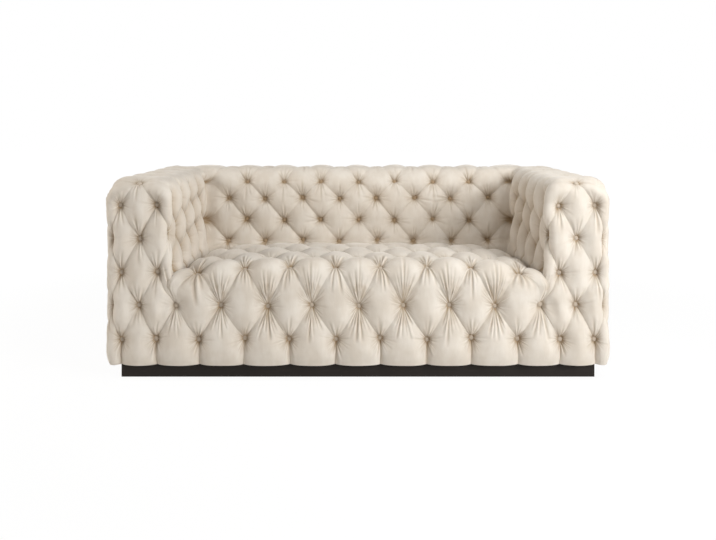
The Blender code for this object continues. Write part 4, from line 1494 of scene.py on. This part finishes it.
class Creasing:
    """How far buttons and creases draw a cover in, as a function of place."""

    straight = 0.001
    bends = 6
    waves = 14
    wave_seed = 17
    wave_lengths = (0.028, 0.17)
    near_room = 1.3
    inside_from = 0.3
    pleat_top = 0.17
    fall_low = 0.26
    fall_high = 0.46
    fall_depth = 0.08
    fall_room = 0.01
    shared_depth = 0.012
    shared_top = 0.30
    own_shift = 17.0
    own_turn = 9.0

    def __init__(self, cover: Cover, neighbour: Cover) -> None:
        """Gathers a cover's creases and buttons, with those it shares with its neighbour."""
        self.form, self.style = cover.form, cover.style
        creases = dict(cover.creases)
        buttons = dict(cover.buttons)
        creases.update({k: c for k, c in neighbour.creases.items() if self.shared(*c)})
        buttons.update({k: b for k, b in neighbour.buttons.items() if self.shared(b.place)})
        starts, ends, self.first, firmness = [], [], [], []
        for start, end in creases.values():
            self.first.append(len(starts))
            firmness.append(self.firmness_of(start, end))
            route = self.route(start, end)
            starts += list(route[:-1])
            ends += list(route[1:])
        self.first, self.firmness = np.array(self.first), np.array(firmness)
        self.starts, self.along = np.array(starts), np.array(ends) - np.array(starts)
        self.buttons = list(buttons.values())
        self.button_places = np.array([button.place for button in self.buttons])
        chance = np.random.default_rng(self.wave_seed)
        directions = chance.normal(size=(self.waves, 3))
        directions /= np.linalg.norm(directions, axis=1, keepdims=True)
        lengths = chance.uniform(*self.wave_lengths, self.waves)
        self.wave_turns = directions * (2 * math.pi / lengths)[:, None]
        self.wave_starts = chance.uniform(0, 2 * math.pi, self.waves)
        self.wave_sizes = lengths / lengths.mean() / math.sqrt(self.waves)

    def firmness_of(self, start: Array, end: Array) -> float:
        """How much of a crease shows: all of a pleat above the hem, less elsewhere.

        Args:
            start: One end of the crease.
            end: Its other end.

        Returns:
            The share that shows.
        """
        style, sizes = self.style, self.form.sizes
        firmness = chance_at(start + end).uniform(*style.crease_firmness)
        if self.form.facing_inward((start[None] + end[None]) / 2)[0] > self.inside_from:
            firmness = max(firmness, style.inside_firmness)
        low, high = sorted((start[2], end[2]))
        if high < self.pleat_top:
            return 1.0
        falls = low > self.fall_low and high < self.fall_high
        falls = falls and max(start[1], end[1]) < sizes.front_y + self.fall_depth
        across = min(abs(start[0]), abs(end[0])) < sizes.inner_x - self.fall_room
        return firmness * style.fall_firmness if falls and across else firmness

    def shared(self, *points: Array) -> bool:
        """Whether all points lie on the low front, where arms and seat run on."""
        front = self.form.sizes.front_y
        near = all(abs(point[1] - front) < self.shared_depth for point in points)
        return near and all(point[2] < self.shared_top for point in points)

    def route(self, start: Array, end: Array) -> Array:
        """The crease as one straight bit, or several where the body bends under it."""
        steps = np.linspace(0.0, 1.0, self.bends + 1)[:, None]
        chord = mix(start, end, steps)
        settled = self.form.settle(chord)
        if np.abs(settled - chord).max() < self.straight:
            return chord[[0, -1]]
        return settled

    def pillows(self, points: Array, centre: Array, radius: float) -> tuple[Array, Array]:
        """Broad pillows and the narrow creases between them.

        Args:
            points: Places on the smooth body.
            centre: The middle of those places.
            radius: How far they lie from it.

        Returns:
            How far up its pillow and how far out of a crease each point is, from 0 to 1.
        """
        style = self.style
        lengths = np.einsum("ij,ij->i", self.along, self.along)
        share = np.einsum("ij,ij->i", centre - self.starts, self.along) / lengths
        nearest = self.starts + np.clip(share, 0, 1)[:, None] * self.along
        near = np.linalg.norm(nearest - centre, axis=1) < radius + self.near_room * style.reach
        counts = np.diff(np.append(self.first, len(self.starts)))
        crease_near = np.logical_or.reduceat(near, self.first)
        kept = np.repeat(crease_near, counts)
        starts, along, lengths = self.starts[kept], self.along[kept], lengths[kept]
        groups = np.append(0, np.cumsum(counts[crease_near]))[:-1]
        offset = points[:, None, :] - starts[None]
        share = np.clip(np.einsum("pij,ij->pi", offset, along) / lengths, 0, 1)
        offset -= share[:, :, None] * along[None]
        distance = np.sqrt(np.einsum("pij,pij->pi", offset, offset))
        lean = 1.0 - style.slump * offset[:, :, 2] / np.maximum(distance, 1e-9)
        away = np.minimum.reduceat(distance / lean, groups, axis=1)
        sunk = (1.0 - np.clip(away / style.reach, 0, 1)) ** style.swell
        creased = (1.0 - np.clip(away / style.crease_reach, 0, 1)) ** style.crease_swell
        return (1.0 - sunk).prod(axis=1), (1.0 - self.firmness[crease_near] * creased).prod(axis=1)

    def hem_fade(self, height: Array) -> Array:
        """Creases get shallow towards the hem."""
        share = smooth((height - self.form.sizes.hem) / self.style.hem_fade)
        return mix(self.style.hem_share, 1.0, share)

    def folds(self, points: Array, near: list[Button], gaps: Array) -> tuple[Array, Array, Array]:
        """Folds that run out from the buttons.

        Args:
            points: Places on the smooth body.
            near: The buttons round them.
            gaps: How far each point lies from each of these buttons.

        Returns:
            Their depths, how strong the finest ones are, and each point's place by its button.
        """
        depths, strength = np.zeros(len(points)), np.zeros(len(points))
        places = np.zeros((len(points), 3))
        nearest, next_one = np.partition(gaps, 1, axis=0)[:2]
        lone = smooth((next_one - nearest) / self.style.fold_gap)
        owner = gaps.argmin(axis=0)
        for index, (button, gap) in enumerate(zip(near, gaps)):
            close = gap < button.reach
            if close.any():
                depths[close] += button.fold_depths(points[close])
            own = owner == index
            if own.any():
                places[own, 0], places[own, 1] = button.on_plane(points[own])
                places[own, 2] = self.own_shift * button.place.sum() + self.own_turn * gap[own]
                strength[own] = lone[own] * button.fold_strength(points[own])
        return depths, strength, places

    def relief(self, points: Array) -> "Relief":
        """Works out the buttoning at some places.

        Args:
            points: Places on the smooth body.

        Returns:
            How far each of them is drawn in, and the painted shade and fine folds that the velvet
            shows there.
        """
        style, form, height = self.style, self.form, points[:, 2]
        centre = points.mean(axis=0)
        radius = float(np.linalg.norm(points - centre, axis=1).max())
        away = np.linalg.norm(self.button_places - centre, axis=1) - radius
        near = [button for button, gap in zip(self.buttons, away) if gap < style.fold_reach]
        gaps = np.array([np.linalg.norm(points - button.place, axis=1) for button in near])
        nearest = gaps.min(axis=0)
        up, out = self.pillows(points, centre, radius)
        inside = form.facing_inward(points)
        calm = 1.0 - style.inside_calm * inside
        low = 1.0 - np.clip((height - form.sizes.hem) / style.hem_tuck_rise, 0, 1)
        pillow = style.pillow_depth + style.inside_depth * inside + style.hem_pillow * smooth(low)
        pillow += calm * style.pillow_extra * bell(nearest, style.pillow_spread)
        pillow *= 1.0 - style.back_calm * form.facing_front(points)
        crease = style.crease_depth + calm * style.crease_extra * bell(nearest, style.crease_spread)
        pit = bell(nearest, style.pit_radius)
        depth = pillow * (1.0 - up) + crease * (1.0 - out) + calm * style.pit * pit
        depth += calm * style.dimple * bell(nearest, style.dimple_radius)
        # Painted shade: darker in pits, in creases, near pleats and on the arms' inner sides.
        painted_shade = style.pit_shade * pit + style.crease_shade * (1.0 - out) ** 2
        deep = (1.0 - up) ** style.inside_shade_fade + (1.0 - out) ** 2
        painted_shade += style.inside_shade * inside * deep
        painted_shade += style.pleat_shade * bell(nearest, style.pleat_shade_radius) * (1.0 - out)
        on_top = rising(height, style.top_from, style.top_full - style.top_from)
        depth *= self.hem_fade(height) * mix(1.0, style.top_share, on_top)
        depth *= 1.0 - style.pressed_calm * form.pressed_flat(points)
        folds, strength, places = self.folds(points, near, gaps)
        folds *= mix(1.0, style.top_folds, on_top)
        # Painted shade in the grooves of the folds.
        painted_shade = np.clip(painted_shade + style.fold_shade * np.clip(folds, *style.fold_clip), 0.0, 1.0)
        lumps = np.sin(points @ self.wave_turns.T + self.wave_starts) @ self.wave_sizes
        beside = form.beside_neighbours(points, style.side_tuck_width)
        depth += folds + style.lump * lumps + style.side_tuck * beside
        # Painted shade along the sides tucked in beside a neighbour.
        painted_shade = np.clip(painted_shade + style.side_shade * beside, 0.0, 1.0)
        return Relief(depth + style.hem_tuck * low**style.hem_tuck_fade, painted_shade, strength, places)

    def drawn_in(self, points: Array, relief: "Relief") -> Array:
        """Points of the smooth body moved to where the buttoning pulls them."""
        drawn = points - relief.depth[:, None] * self.form.pull(points)
        return self.form.squeezed(drawn)


@dataclass
class Relief:
    """What the buttoning does at some points of a cover."""

    depth: Array
    # How much painted shade the velvet gets at each point.
    painted_shade: Array
    gather: Array
    gather_place: Array

    @classmethod
    def flat(cls, count: int) -> "Relief":
        """No buttoning at all, for the lining."""
        return cls(np.zeros(count), np.zeros(count), np.zeros(count), np.zeros((count, 3)))

    @classmethod
    def joined(cls, parts: "list[Relief]") -> "Relief":
        """Several of them as one."""
        names = ("depth", "painted_shade", "gather", "gather_place")
        return cls(*(np.concatenate([getattr(part, name) for part in parts]) for name in names))

    def write(self, mesh: bpy.types.Mesh) -> None:
        """Leaves on a mesh what its material reads."""
        for name, values in ((PAINTED_SHADE, self.painted_shade), (GATHER, self.gather)):
            mesh.attributes.new(name, "FLOAT", "POINT").data.foreach_set("value", values)
        places = mesh.attributes.new(GATHER_PLACE, "FLOAT_VECTOR", "POINT")
        places.data.foreach_set("vector", self.gather_place.reshape(-1))


class CoverMesh:
    """The closed mesh of one padded part, fine outside and coarse inside."""

    weld = 2e-5
    least_lean = 0.62
    lining_rounds = 3
    lining_share = 0.9
    lining_shift = 10.0
    weld_shift = 7.31e-6
    end_crowding = 0.3
    sharp_angle = math.radians(70)

    def __init__(self, creasing: Creasing, cells: int) -> None:
        """Starts empty, with this many cells along each side of a patch."""
        self.creasing = creasing
        self.cells = cells
        even = np.linspace(0.0, 1.0, cells + 1)
        self.steps = mix(even, (1.0 - np.cos(math.pi * even)) / 2.0, self.end_crowding)
        self.smooth_points: list[Array] = []
        self.points: list[Array] = []
        self.reliefs: list[Relief] = []
        self.faces: list[Array] = []
        self.edges: dict[tuple, tuple[Array, tuple[Array, Array]]] = {}
        self.count = 0

    def add_points(self, smooth_points: Array, points: Array, relief: Relief) -> Array:
        """Adds vertices, named by their places on the smooth body.

        Args:
            smooth_points: Places by which vertices are merged.
            points: Where they go.
            relief: What the buttoning does there.

        Returns:
            Their numbers.
        """
        self.smooth_points.append(smooth_points)
        self.points.append(points)
        self.reliefs.append(relief)
        first = self.count
        self.count += len(points)
        return np.arange(first, self.count)

    def add_patch(self, patch: Patch) -> None:
        """Adds a patch's fine outer face and its coarse inner one."""
        form, size = self.creasing.form, self.cells + 1
        a, b, c, d = patch.corners
        along, across = (grid.reshape(-1, 1) for grid in np.meshgrid(self.steps, self.steps))
        flat = mix(mix(a, b, along), mix(d, c, along), across)
        settled = form.settle(flat)
        relief = self.creasing.relief(settled)
        drawn = self.creasing.drawn_in(settled, relief)
        numbers = self.add_points(settled, drawn, relief).reshape(size, size)
        middle = settled[len(settled) // 2]
        facing = np.cross(c - a, d - b) @ form.slope(middle[None])[0]
        corners = [numbers[0, 0], numbers[0, -1], numbers[-1, -1], numbers[-1, 0]]
        sides = [numbers[0], numbers[:, -1], numbers[-1][::-1], numbers[:, 0][::-1]]
        quads = np.stack(
            [numbers[:-1, :-1], numbers[:-1, 1:], numbers[1:, 1:], numbers[1:, :-1]], axis=-1
        ).reshape(-1, 4)
        if facing < 0:
            quads = quads[:, ::-1]
            corners.reverse()
            sides = [side[::-1] for side in reversed(sides)]
        self.faces += [quads[:, :3], quads[:, [0, 2, 3]]]
        inner = [self.inner_point(form, settled[number - numbers[0, 0]]) for number in corners]
        lining = [int(number) for number in inner]
        self.faces += [np.array([lining[:3][::-1]]), np.array([[lining[3], lining[2], lining[0]]])]
        starts = [settled[side[0] - numbers[0, 0]] for side in sides]
        finish = [settled[side[-1] - numbers[0, 0]] for side in sides]
        for side, start, end in zip(sides, starts, finish):
            key = (key_of(start), key_of(end))
            if key[0] == key[1]:
                continue
            if key[::-1] in self.edges:
                del self.edges[key[::-1]]
            else:
                self.edges[key] = (side, (start, end))

    def inner_point(self, form: Form, place: Array) -> int:
        """The lining's vertex below a corner."""
        padding = form.sizes.padding
        lean = float((form.pull(place[None]) @ form.slope(place[None]).T)[0, 0])
        inner = place[None] - form.pull(place[None]) * padding / max(lean, self.least_lean)
        for _ in range(self.lining_rounds):
            short = np.maximum(form.distance(inner) + self.lining_share * padding, 0.0)
            inner = inner - short[:, None] * form.slope(inner)
        return int(self.add_points((place + self.lining_shift)[None], inner, Relief.flat(1))[0])

    def add_rims(self) -> None:
        """Joins the fine outside to the lining along every open edge."""
        form = self.creasing.form
        for side, (start, end) in self.edges.values():
            near, far = self.inner_point(form, start), self.inner_point(form, end)
            half = len(side) // 2
            for index in range(len(side) - 1):
                low = near if index < half else far
                self.faces.append(np.array([[side[index + 1], side[index], low]]))
            self.faces.append(np.array([[side[half], near, far]]))

    def build(self, name: str) -> bpy.types.Object:
        """Welds everything into one object.

        Args:
            name: The object's name.

        Returns:
            The new object.
        """
        self.add_rims()
        smooth_points, points = np.concatenate(self.smooth_points), np.concatenate(self.points)
        keys = np.floor((smooth_points + self.weld_shift) / self.weld).astype(np.int64)
        _, first, numbers = np.unique(keys, axis=0, return_index=True, return_inverse=True)
        faces = numbers.reshape(-1)[np.concatenate(self.faces)]
        whole = (faces[:, 0] != faces[:, 1]) & (faces[:, 1] != faces[:, 2])
        faces = faces[whole & (faces[:, 0] != faces[:, 2])]
        mesh = bpy.data.meshes.new(name)
        mesh.from_pydata(points[first], [], faces)
        mesh.update()
        mesh.shade_smooth()
        mesh.set_sharp_from_angle(angle=self.sharp_angle)
        relief = Relief.joined(self.reliefs)
        kept = (relief.depth, relief.painted_shade, relief.gather, relief.gather_place)
        Relief(*(values[first] for values in kept)).write(mesh)
        item = bpy.data.objects.new(name, mesh)
        bpy.context.scene.collection.objects.link(item)
        return item


# Modelling by hand


class Bench:
    """Shapes hard pieces with Blender's own tools."""

    smooth_angle = math.radians(35)

    @staticmethod
    def clear() -> None:
        """Deselects everything."""
        bpy.ops.object.select_all(action="DESELECT")

    @classmethod
    def board(cls, name: str, low: Place, high: Place, edge: float) -> bpy.types.Object:
        """A board with softened edges.

        Args:
            name: Its name.
            low: Its lowest corner.
            high: Its highest corner.
            edge: How far its edges are rounded off.

        Returns:
            The board, its place in its mesh.
        """
        cls.clear()
        low, high = Vector(low), Vector(high)
        bpy.ops.mesh.primitive_cube_add(size=1.0, location=(low + high) / 2)
        item = bpy.context.object
        item.name = item.data.name = name
        bpy.ops.object.mode_set(mode="EDIT")
        bpy.ops.mesh.select_all(action="SELECT")
        bpy.ops.transform.resize(value=high - low)
        bpy.ops.mesh.bevel(offset=edge, segments=3, affect="EDGES")
        bpy.ops.object.mode_set(mode="OBJECT")
        bpy.ops.object.transform_apply(location=True, rotation=True, scale=True)
        bpy.ops.object.shade_smooth_by_angle(angle=cls.smooth_angle)
        return item

    @classmethod
    def cloth(cls, name: str, low: Place, high: Place, cells: tuple[int, int]) -> bpy.types.Object:
        """A flat cloth halfway up a box, divided finely enough to be draped.

        Args:
            name: Its name.
            low: The box's lowest corner.
            high: The box's highest corner.
            cells: How many faces it has along X and Y.

        Returns:
            The cloth, its place in its mesh.
        """
        cls.clear()
        low, high = Vector(low), Vector(high)
        middle = (low + high) / 2
        bpy.ops.mesh.primitive_grid_add(
            x_subdivisions=cells[0], y_subdivisions=cells[1], size=1.0, location=middle
        )
        item = bpy.context.object
        item.name = item.data.name = name
        bpy.ops.object.mode_set(mode="EDIT")
        bpy.ops.mesh.select_all(action="SELECT")
        bpy.ops.transform.resize(value=(high.x - low.x, high.y - low.y, 1.0))
        bpy.ops.object.mode_set(mode="OBJECT")
        bpy.ops.object.transform_apply(location=True, rotation=True, scale=True)
        bpy.ops.object.shade_smooth()
        return item

    @classmethod
    def apply(cls, item: bpy.types.Object, kind: str, **settings: object) -> None:
        """Adds one modifier and applies it."""
        cls.clear()
        item.select_set(True)
        bpy.context.view_layer.objects.active = item
        modifier = item.modifiers.new(kind.lower(), kind)
        for name, value in settings.items():
            setattr(modifier, name, value)
        bpy.ops.object.modifier_apply(modifier=modifier.name)


def keep(
    item: bpy.types.Object, finish: bpy.types.Material, slot: str, *nodes: str
) -> bpy.types.Object:
    """Dresses a piece and ties it to the part.

    Args:
        item: The piece.
        finish: Its material.
        slot: The record's material slot; not used.
        nodes: The solids that it stands for.

    Returns:
        The piece.
    """
    item.data.materials.clear()
    item.data.materials.append(finish)
    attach(item, BODY)
    if nodes:
        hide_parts(*nodes)
    LOG.info("%s: %d faces", item.name, len(item.data.polygons))
    return item


@dataclass
class ButtonMaker:
    """Covered buttons, modelled once and set out over a cover."""

    radius: float = 0.0104
    height: float = 0.0062
    segments: int = 14
    rings: int = 8
    # Painted shade on the buttons, which sit in pits; the back's are shaded most.
    painted_shade: float = 0.62
    back_shade: float = 1.3
    base: float = 0.45
    lift: float = 0.0024

    def pattern(self) -> tuple[Array, Array]:
        """Models one button, its base at the origin, facing +Z.

        Returns:
            Its vertices and its triangles.
        """
        Bench.clear()
        bpy.ops.mesh.primitive_uv_sphere_add(
            segments=self.segments, ring_count=self.rings, radius=self.radius
        )
        item = bpy.context.object
        bpy.ops.object.mode_set(mode="EDIT")
        bpy.ops.mesh.select_all(action="SELECT")
        bpy.ops.mesh.bisect(
            plane_co=(0, 0, -self.base * self.radius),
            plane_no=(0, 0, 1),
            clear_inner=True,
            use_fill=True,
        )
        bpy.ops.mesh.select_all(action="SELECT")
        bpy.ops.transform.resize(value=(1, 1, self.height / self.radius))
        bpy.ops.mesh.quads_convert_to_tris()
        bpy.ops.object.mode_set(mode="OBJECT")
        mesh = item.data
        places = np.array([vertex.co for vertex in mesh.vertices])
        faces = np.array([face.vertices for face in mesh.polygons])
        bpy.data.objects.remove(item)
        bpy.data.meshes.remove(mesh)
        return places, faces

    def set_out(
        self, name: str, buttons: list[Button], creasing: Creasing, pattern: tuple[Array, Array]
    ) -> bpy.types.Object:
        """Puts a copy into the pit of every button.

        Args:
            name: The object's name.
            buttons: Where they go.
            creasing: How deep the pits are.
            pattern: The modelled button.

        Returns:
            All copies as one object.
        """
        places, faces = pattern
        spots, rings = [], []
        for index, button in enumerate(buttons):
            spot = button.place[None]
            relief = creasing.relief(spot)
            normal = creasing.form.pull(spot)[0]
            seat = creasing.drawn_in(spot, relief)[0] + self.lift * normal
            across = np.cross(button.upward, normal)
            axes = np.stack([across, np.cross(normal, across), normal])
            spots.append(seat + places @ axes)
            rings.append(faces + index * len(places))
        mesh = bpy.data.meshes.new(name)
        mesh.from_pydata(np.concatenate(spots), [], np.concatenate(rings))
        mesh.update()
        mesh.shade_smooth()
        relief = Relief.flat(len(mesh.vertices))
        # Painted shade: every button tinted towards the velvet's shade tan, the back's most.
        relief.painted_shade += self.back_shade if buttons[0].section is Section.BACK else self.painted_shade
        relief.write(mesh)
        item = bpy.data.objects.new(name, mesh)
        bpy.context.scene.collection.objects.link(item)
        return item


@dataclass
class Upholstery:
    """Velvet covers with their buttons."""

    velvet: bpy.types.Material
    style: TuftStyle = field(default_factory=TuftStyle)
    cells: dict[Section, int] = field(
        default_factory=lambda: {
            Section.LEFT_ARM: 49,
            Section.RIGHT_ARM: 49,
            Section.BACK: 38,
            Section.SEAT: 64,
        }
    )
    fill: float = 0.85

    def build(self) -> None:
        """Makes the four covers and their buttons."""
        wall = WallLattice(WallForm(), self.style)
        seat = SeatLattice(SeatForm(), self.style, wall)
        wall_creasing = Creasing(wall.cover, seat.cover)
        seat_creasing = Creasing(seat.cover, wall.cover)
        maker = ButtonMaker()
        pattern = maker.pattern()
        for section in Section:
            of_seat = section is Section.SEAT
            cover = seat.cover if of_seat else wall.cover
            creasing = seat_creasing if of_seat else wall_creasing
            mesh = CoverMesh(creasing, self.cells[section])
            for patch in cover.patches:
                if patch.section is section:
                    mesh.add_patch(patch)
            piece = mesh.build(f"{section.value}_cover")
            keep(piece, self.velvet, "velvet", f"{section.value}_pad")
            buttons = [b for b in cover.buttons.values() if b.section is section and not b.hidden]
            name = f"{section.value}_buttons"
            keep(maker.set_out(name, buttons, creasing, pattern), self.velvet, "velvet")


@dataclass
class Base:
    """Plinth boards and the cloth that closes the underside."""

    paint: bpy.types.Material
    dust_cloth: bpy.types.Material
    edge: float = 0.0016
    sag: float = 0.006
    sag_power: float = 0.6
    clearance: float = 0.0004
    cells: tuple[int, int] = (96, 48)

    def build(self) -> None:
        """Makes the boards and the dust cover."""
        for side in ("front", "rear", "left", "right"):
            node = f"plinth_{side}"
            low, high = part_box(node)
            board = Bench.board(f"{node}_board", (low[0], low[1], self.clearance), high, self.edge)
            keep(board, self.paint, "plinth_paint", node)
        low, high = (Vector(corner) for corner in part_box("dust_cover"))
        cloth = Bench.cloth("dust_cover_cloth", low, high, self.cells)
        front, rear = (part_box(f"plinth_{side}") for side in ("front", "rear"))
        for vertex in cloth.data.vertices:
            x, y, _ = vertex.co
            across = math.sin(math.pi * min(abs(x) / front[1][0], 1.0)) ** self.sag_power
            share = (y - front[1][1]) / (rear[0][1] - front[1][1])
            along = math.sin(math.pi * min(max(share, 0.0), 1.0)) ** self.sag_power
            vertex.co.z -= self.sag * across * along
        Bench.apply(cloth, "SOLIDIFY", thickness=high.z - low.z, offset=0.0)
        keep(cloth, self.dust_cloth, "dust_cloth", "dust_cover")


@dataclass
class Inside:
    """What the covers hide: webbing, felt and the frame's finishes."""

    webbing: bpy.types.Material
    felt: bpy.types.Material
    timber: bpy.types.Material
    steel: bpy.types.Material
    nylon: bpy.types.Material
    paint: bpy.types.Material
    straps: int = 4
    springs: int = 5
    strap_edge: float = 0.0006
    felt_cells: tuple[int, int] = (60, 30)
    felt_waves: tuple[float, float] = (31.0, 23.0)
    felt_rise: float = 0.0004
    felt_share: float = 0.9

    def build(self) -> None:
        """Makes the webbing and the felt, and dresses the solids that stay."""
        for number in range(1, self.straps + 1):
            node = f"back_strap_{number}"
            strap = Bench.board(f"back_webbing_{number}", *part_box(node), self.strap_edge)
            keep(strap, self.webbing, "webbing", node)
        low, high = (Vector(corner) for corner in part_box("spring_felt"))
        sheet = Bench.cloth("spring_felt_sheet", low, high, self.felt_cells)
        for vertex in sheet.data.vertices:
            wave = math.sin(self.felt_waves[0] * vertex.co.x)
            wave *= math.sin(self.felt_waves[1] * vertex.co.y + 1.0)
            vertex.co.z += self.felt_rise * wave
        thickness = self.felt_share * (high.z - low.z)
        Bench.apply(sheet, "SOLIDIFY", thickness=thickness, offset=0.0)
        keep(sheet, self.felt, "felt", "spring_felt")
        finishes = {"spring": self.steel, "glide": self.nylon, "plinth": self.paint}
        for name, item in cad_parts.items():
            chosen = next((f for word, f in finishes.items() if word in name), self.timber)
            for slot in item.material_slots:
                slot.material = chosen


@dataclass(frozen=True)
class Lamp:
    """A soft box."""

    name: str
    place: Place
    aim: Place
    size: tuple[float, float]
    watts: float
    colour: Colour = (1.0, 1.0, 1.0)

    def build(self) -> None:
        """Adds the lamp."""
        data = bpy.data.lights.new(self.name, "AREA")
        data.shape = "RECTANGLE"
        data.size, data.size_y = self.size
        data.energy = self.watts
        data.color = self.colour
        item = bpy.data.objects.new(self.name, data)
        item.location = self.place
        ray = Vector(self.aim) - Vector(self.place)
        item.rotation_euler = ray.to_track_quat("-Z", "Y").to_euler()
        item.visible_camera = False
        bpy.context.scene.collection.objects.link(item)


@dataclass
class Studio:
    """Camera, lamps, white floor and world."""

    camera_place: Place = (0.0, -3.302, 0.9624)
    lens: float = 38.79
    rise: float = -0.208
    world_light: float = 0.20
    world_colour: Colour = (1.0, 0.945, 0.88)
    floor_size: float = 40.0
    floor_grey: float = 0.82
    floor_white: float = 0.93
    floor_glow: float = 1.02
    shadow_room: float = 1.4
    shadow_end: float = 3.2
    lamps: tuple[Lamp, ...] = (
        Lamp("key_box", (3.1, -3.1, 2.0), (0.0, 0.0, 0.4), (1.7, 1.7), 127.0, (0.985, 0.99, 0.99)),
        Lamp("top_box", (1.2, -1.2, 2.8), (0.2, 0.0, 0.4), (2.4, 1.8), 36.0, (0.95, 0.98, 1.0)),
        Lamp("fill_box", (-3.4, -0.6, 1.7), (0.2, 0.0, 0.5), (1.4, 1.4), 50.0, (1.0, 0.95, 0.89)),
        Lamp("rear_box", (0.9, 3.7, 1.0), (0.0, 0.46, 0.35), (1.8, 1.2), 30.0, (1.0, 0.98, 0.95)),
    )

    def build(self) -> None:
        """Sets the studio up."""
        self.set_camera()
        for lamp in self.lamps:
            lamp.build()
        self.set_world()
        self.lay_floor()
        bpy.context.scene.view_settings.view_transform = "Standard"

    def set_camera(self) -> None:
        """A level camera in front of the middle of the sofa."""
        data = bpy.data.cameras.new("camera")
        data.lens = self.lens
        data.shift_y = self.rise
        item = bpy.data.objects.new("camera", data)
        item.location = self.camera_place
        item.rotation_euler = (math.pi / 2, 0.0, 0.0)
        bpy.context.scene.collection.objects.link(item)
        bpy.context.scene.camera = item

    @staticmethod
    def seen_directly(graph: Graph) -> Signal:
        """1 for camera, mirror and glass rays, 0 for light that falls on the sofa."""
        rays = [
            graph.node("ShaderNodeLightPath", output=name)
            for name in ("Is Camera Ray", "Is Glossy Ray", "Is Transmission Ray")
        ]
        return rays[0].at_least(rays[1]).at_least(rays[2])

    def set_world(self) -> None:
        """White where it is seen, softer where it lights."""
        world = bpy.data.worlds.new("studio")
        bpy.context.scene.world = world
        world.use_nodes = True
        graph = Graph(world.node_tree)
        warm = {"Color": (*self.world_colour, 1.0), "Strength": self.world_light}
        light = graph.node("ShaderNodeBackground", values=warm)
        plain = {"Color": (1.0, 1.0, 1.0, 1.0), "Strength": 1.0}
        white = graph.node("ShaderNodeBackground", values=plain)
        share = self.seen_directly(graph)
        mixed = graph.node("ShaderNodeMixShader", values={0: share, 1: light, 2: white})
        graph.node("ShaderNodeOutputWorld", values={"Surface": mixed})

    def lay_floor(self) -> None:
        """A white floor with a faint shadow."""
        Bench.clear()
        bpy.ops.mesh.primitive_plane_add(size=self.floor_size)
        floor = bpy.context.object
        floor.name = floor.data.name = "studio_floor"
        made = bpy.data.materials.new("studio_floor")
        made.use_nodes = True
        graph = Graph(made.node_tree)
        grey = (self.floor_grey,) * 3
        matt = graph.node("ShaderNodeBsdfDiffuse", values={"Color": (*grey, 1.0)})
        white = graph.node(
            "ShaderNodeEmission", values={"Color": (1.0, 1.0, 1.0, 1.0), "Strength": self.floor_glow}
        )
        away = graph.length(graph.place())
        fade = graph.eased(away, self.shadow_room, self.shadow_end, self.floor_white)
        share = self.seen_directly(graph) * fade
        mixed = graph.node("ShaderNodeMixShader", values={0: share, 1: matt, 2: white})
        graph.node("ShaderNodeOutputMaterial", values={"Surface": mixed})
        floor.data.materials.append(made)


def main() -> None:
    """Builds the sofa and its studio."""
    logging.basicConfig(level=logging.INFO, format="%(name)s %(message)s")
    velvet = VelvetFinish().material()
    paint = PlinthFinish().material()
    cloths = {weave.kind: weave.material() for weave in WEAVES}
    Inside(
        cloths[WeaveKind.WEBBING],
        cloths[WeaveKind.FELT],
        TimberFinish().material(),
        SteelFinish().material(),
        NylonFinish().material(),
        paint,
    ).build()
    Base(paint, cloths[WeaveKind.DUST_CLOTH]).build()
    Upholstery(velvet).build()
    Studio().build()


if __name__ == "__main__":
    main()
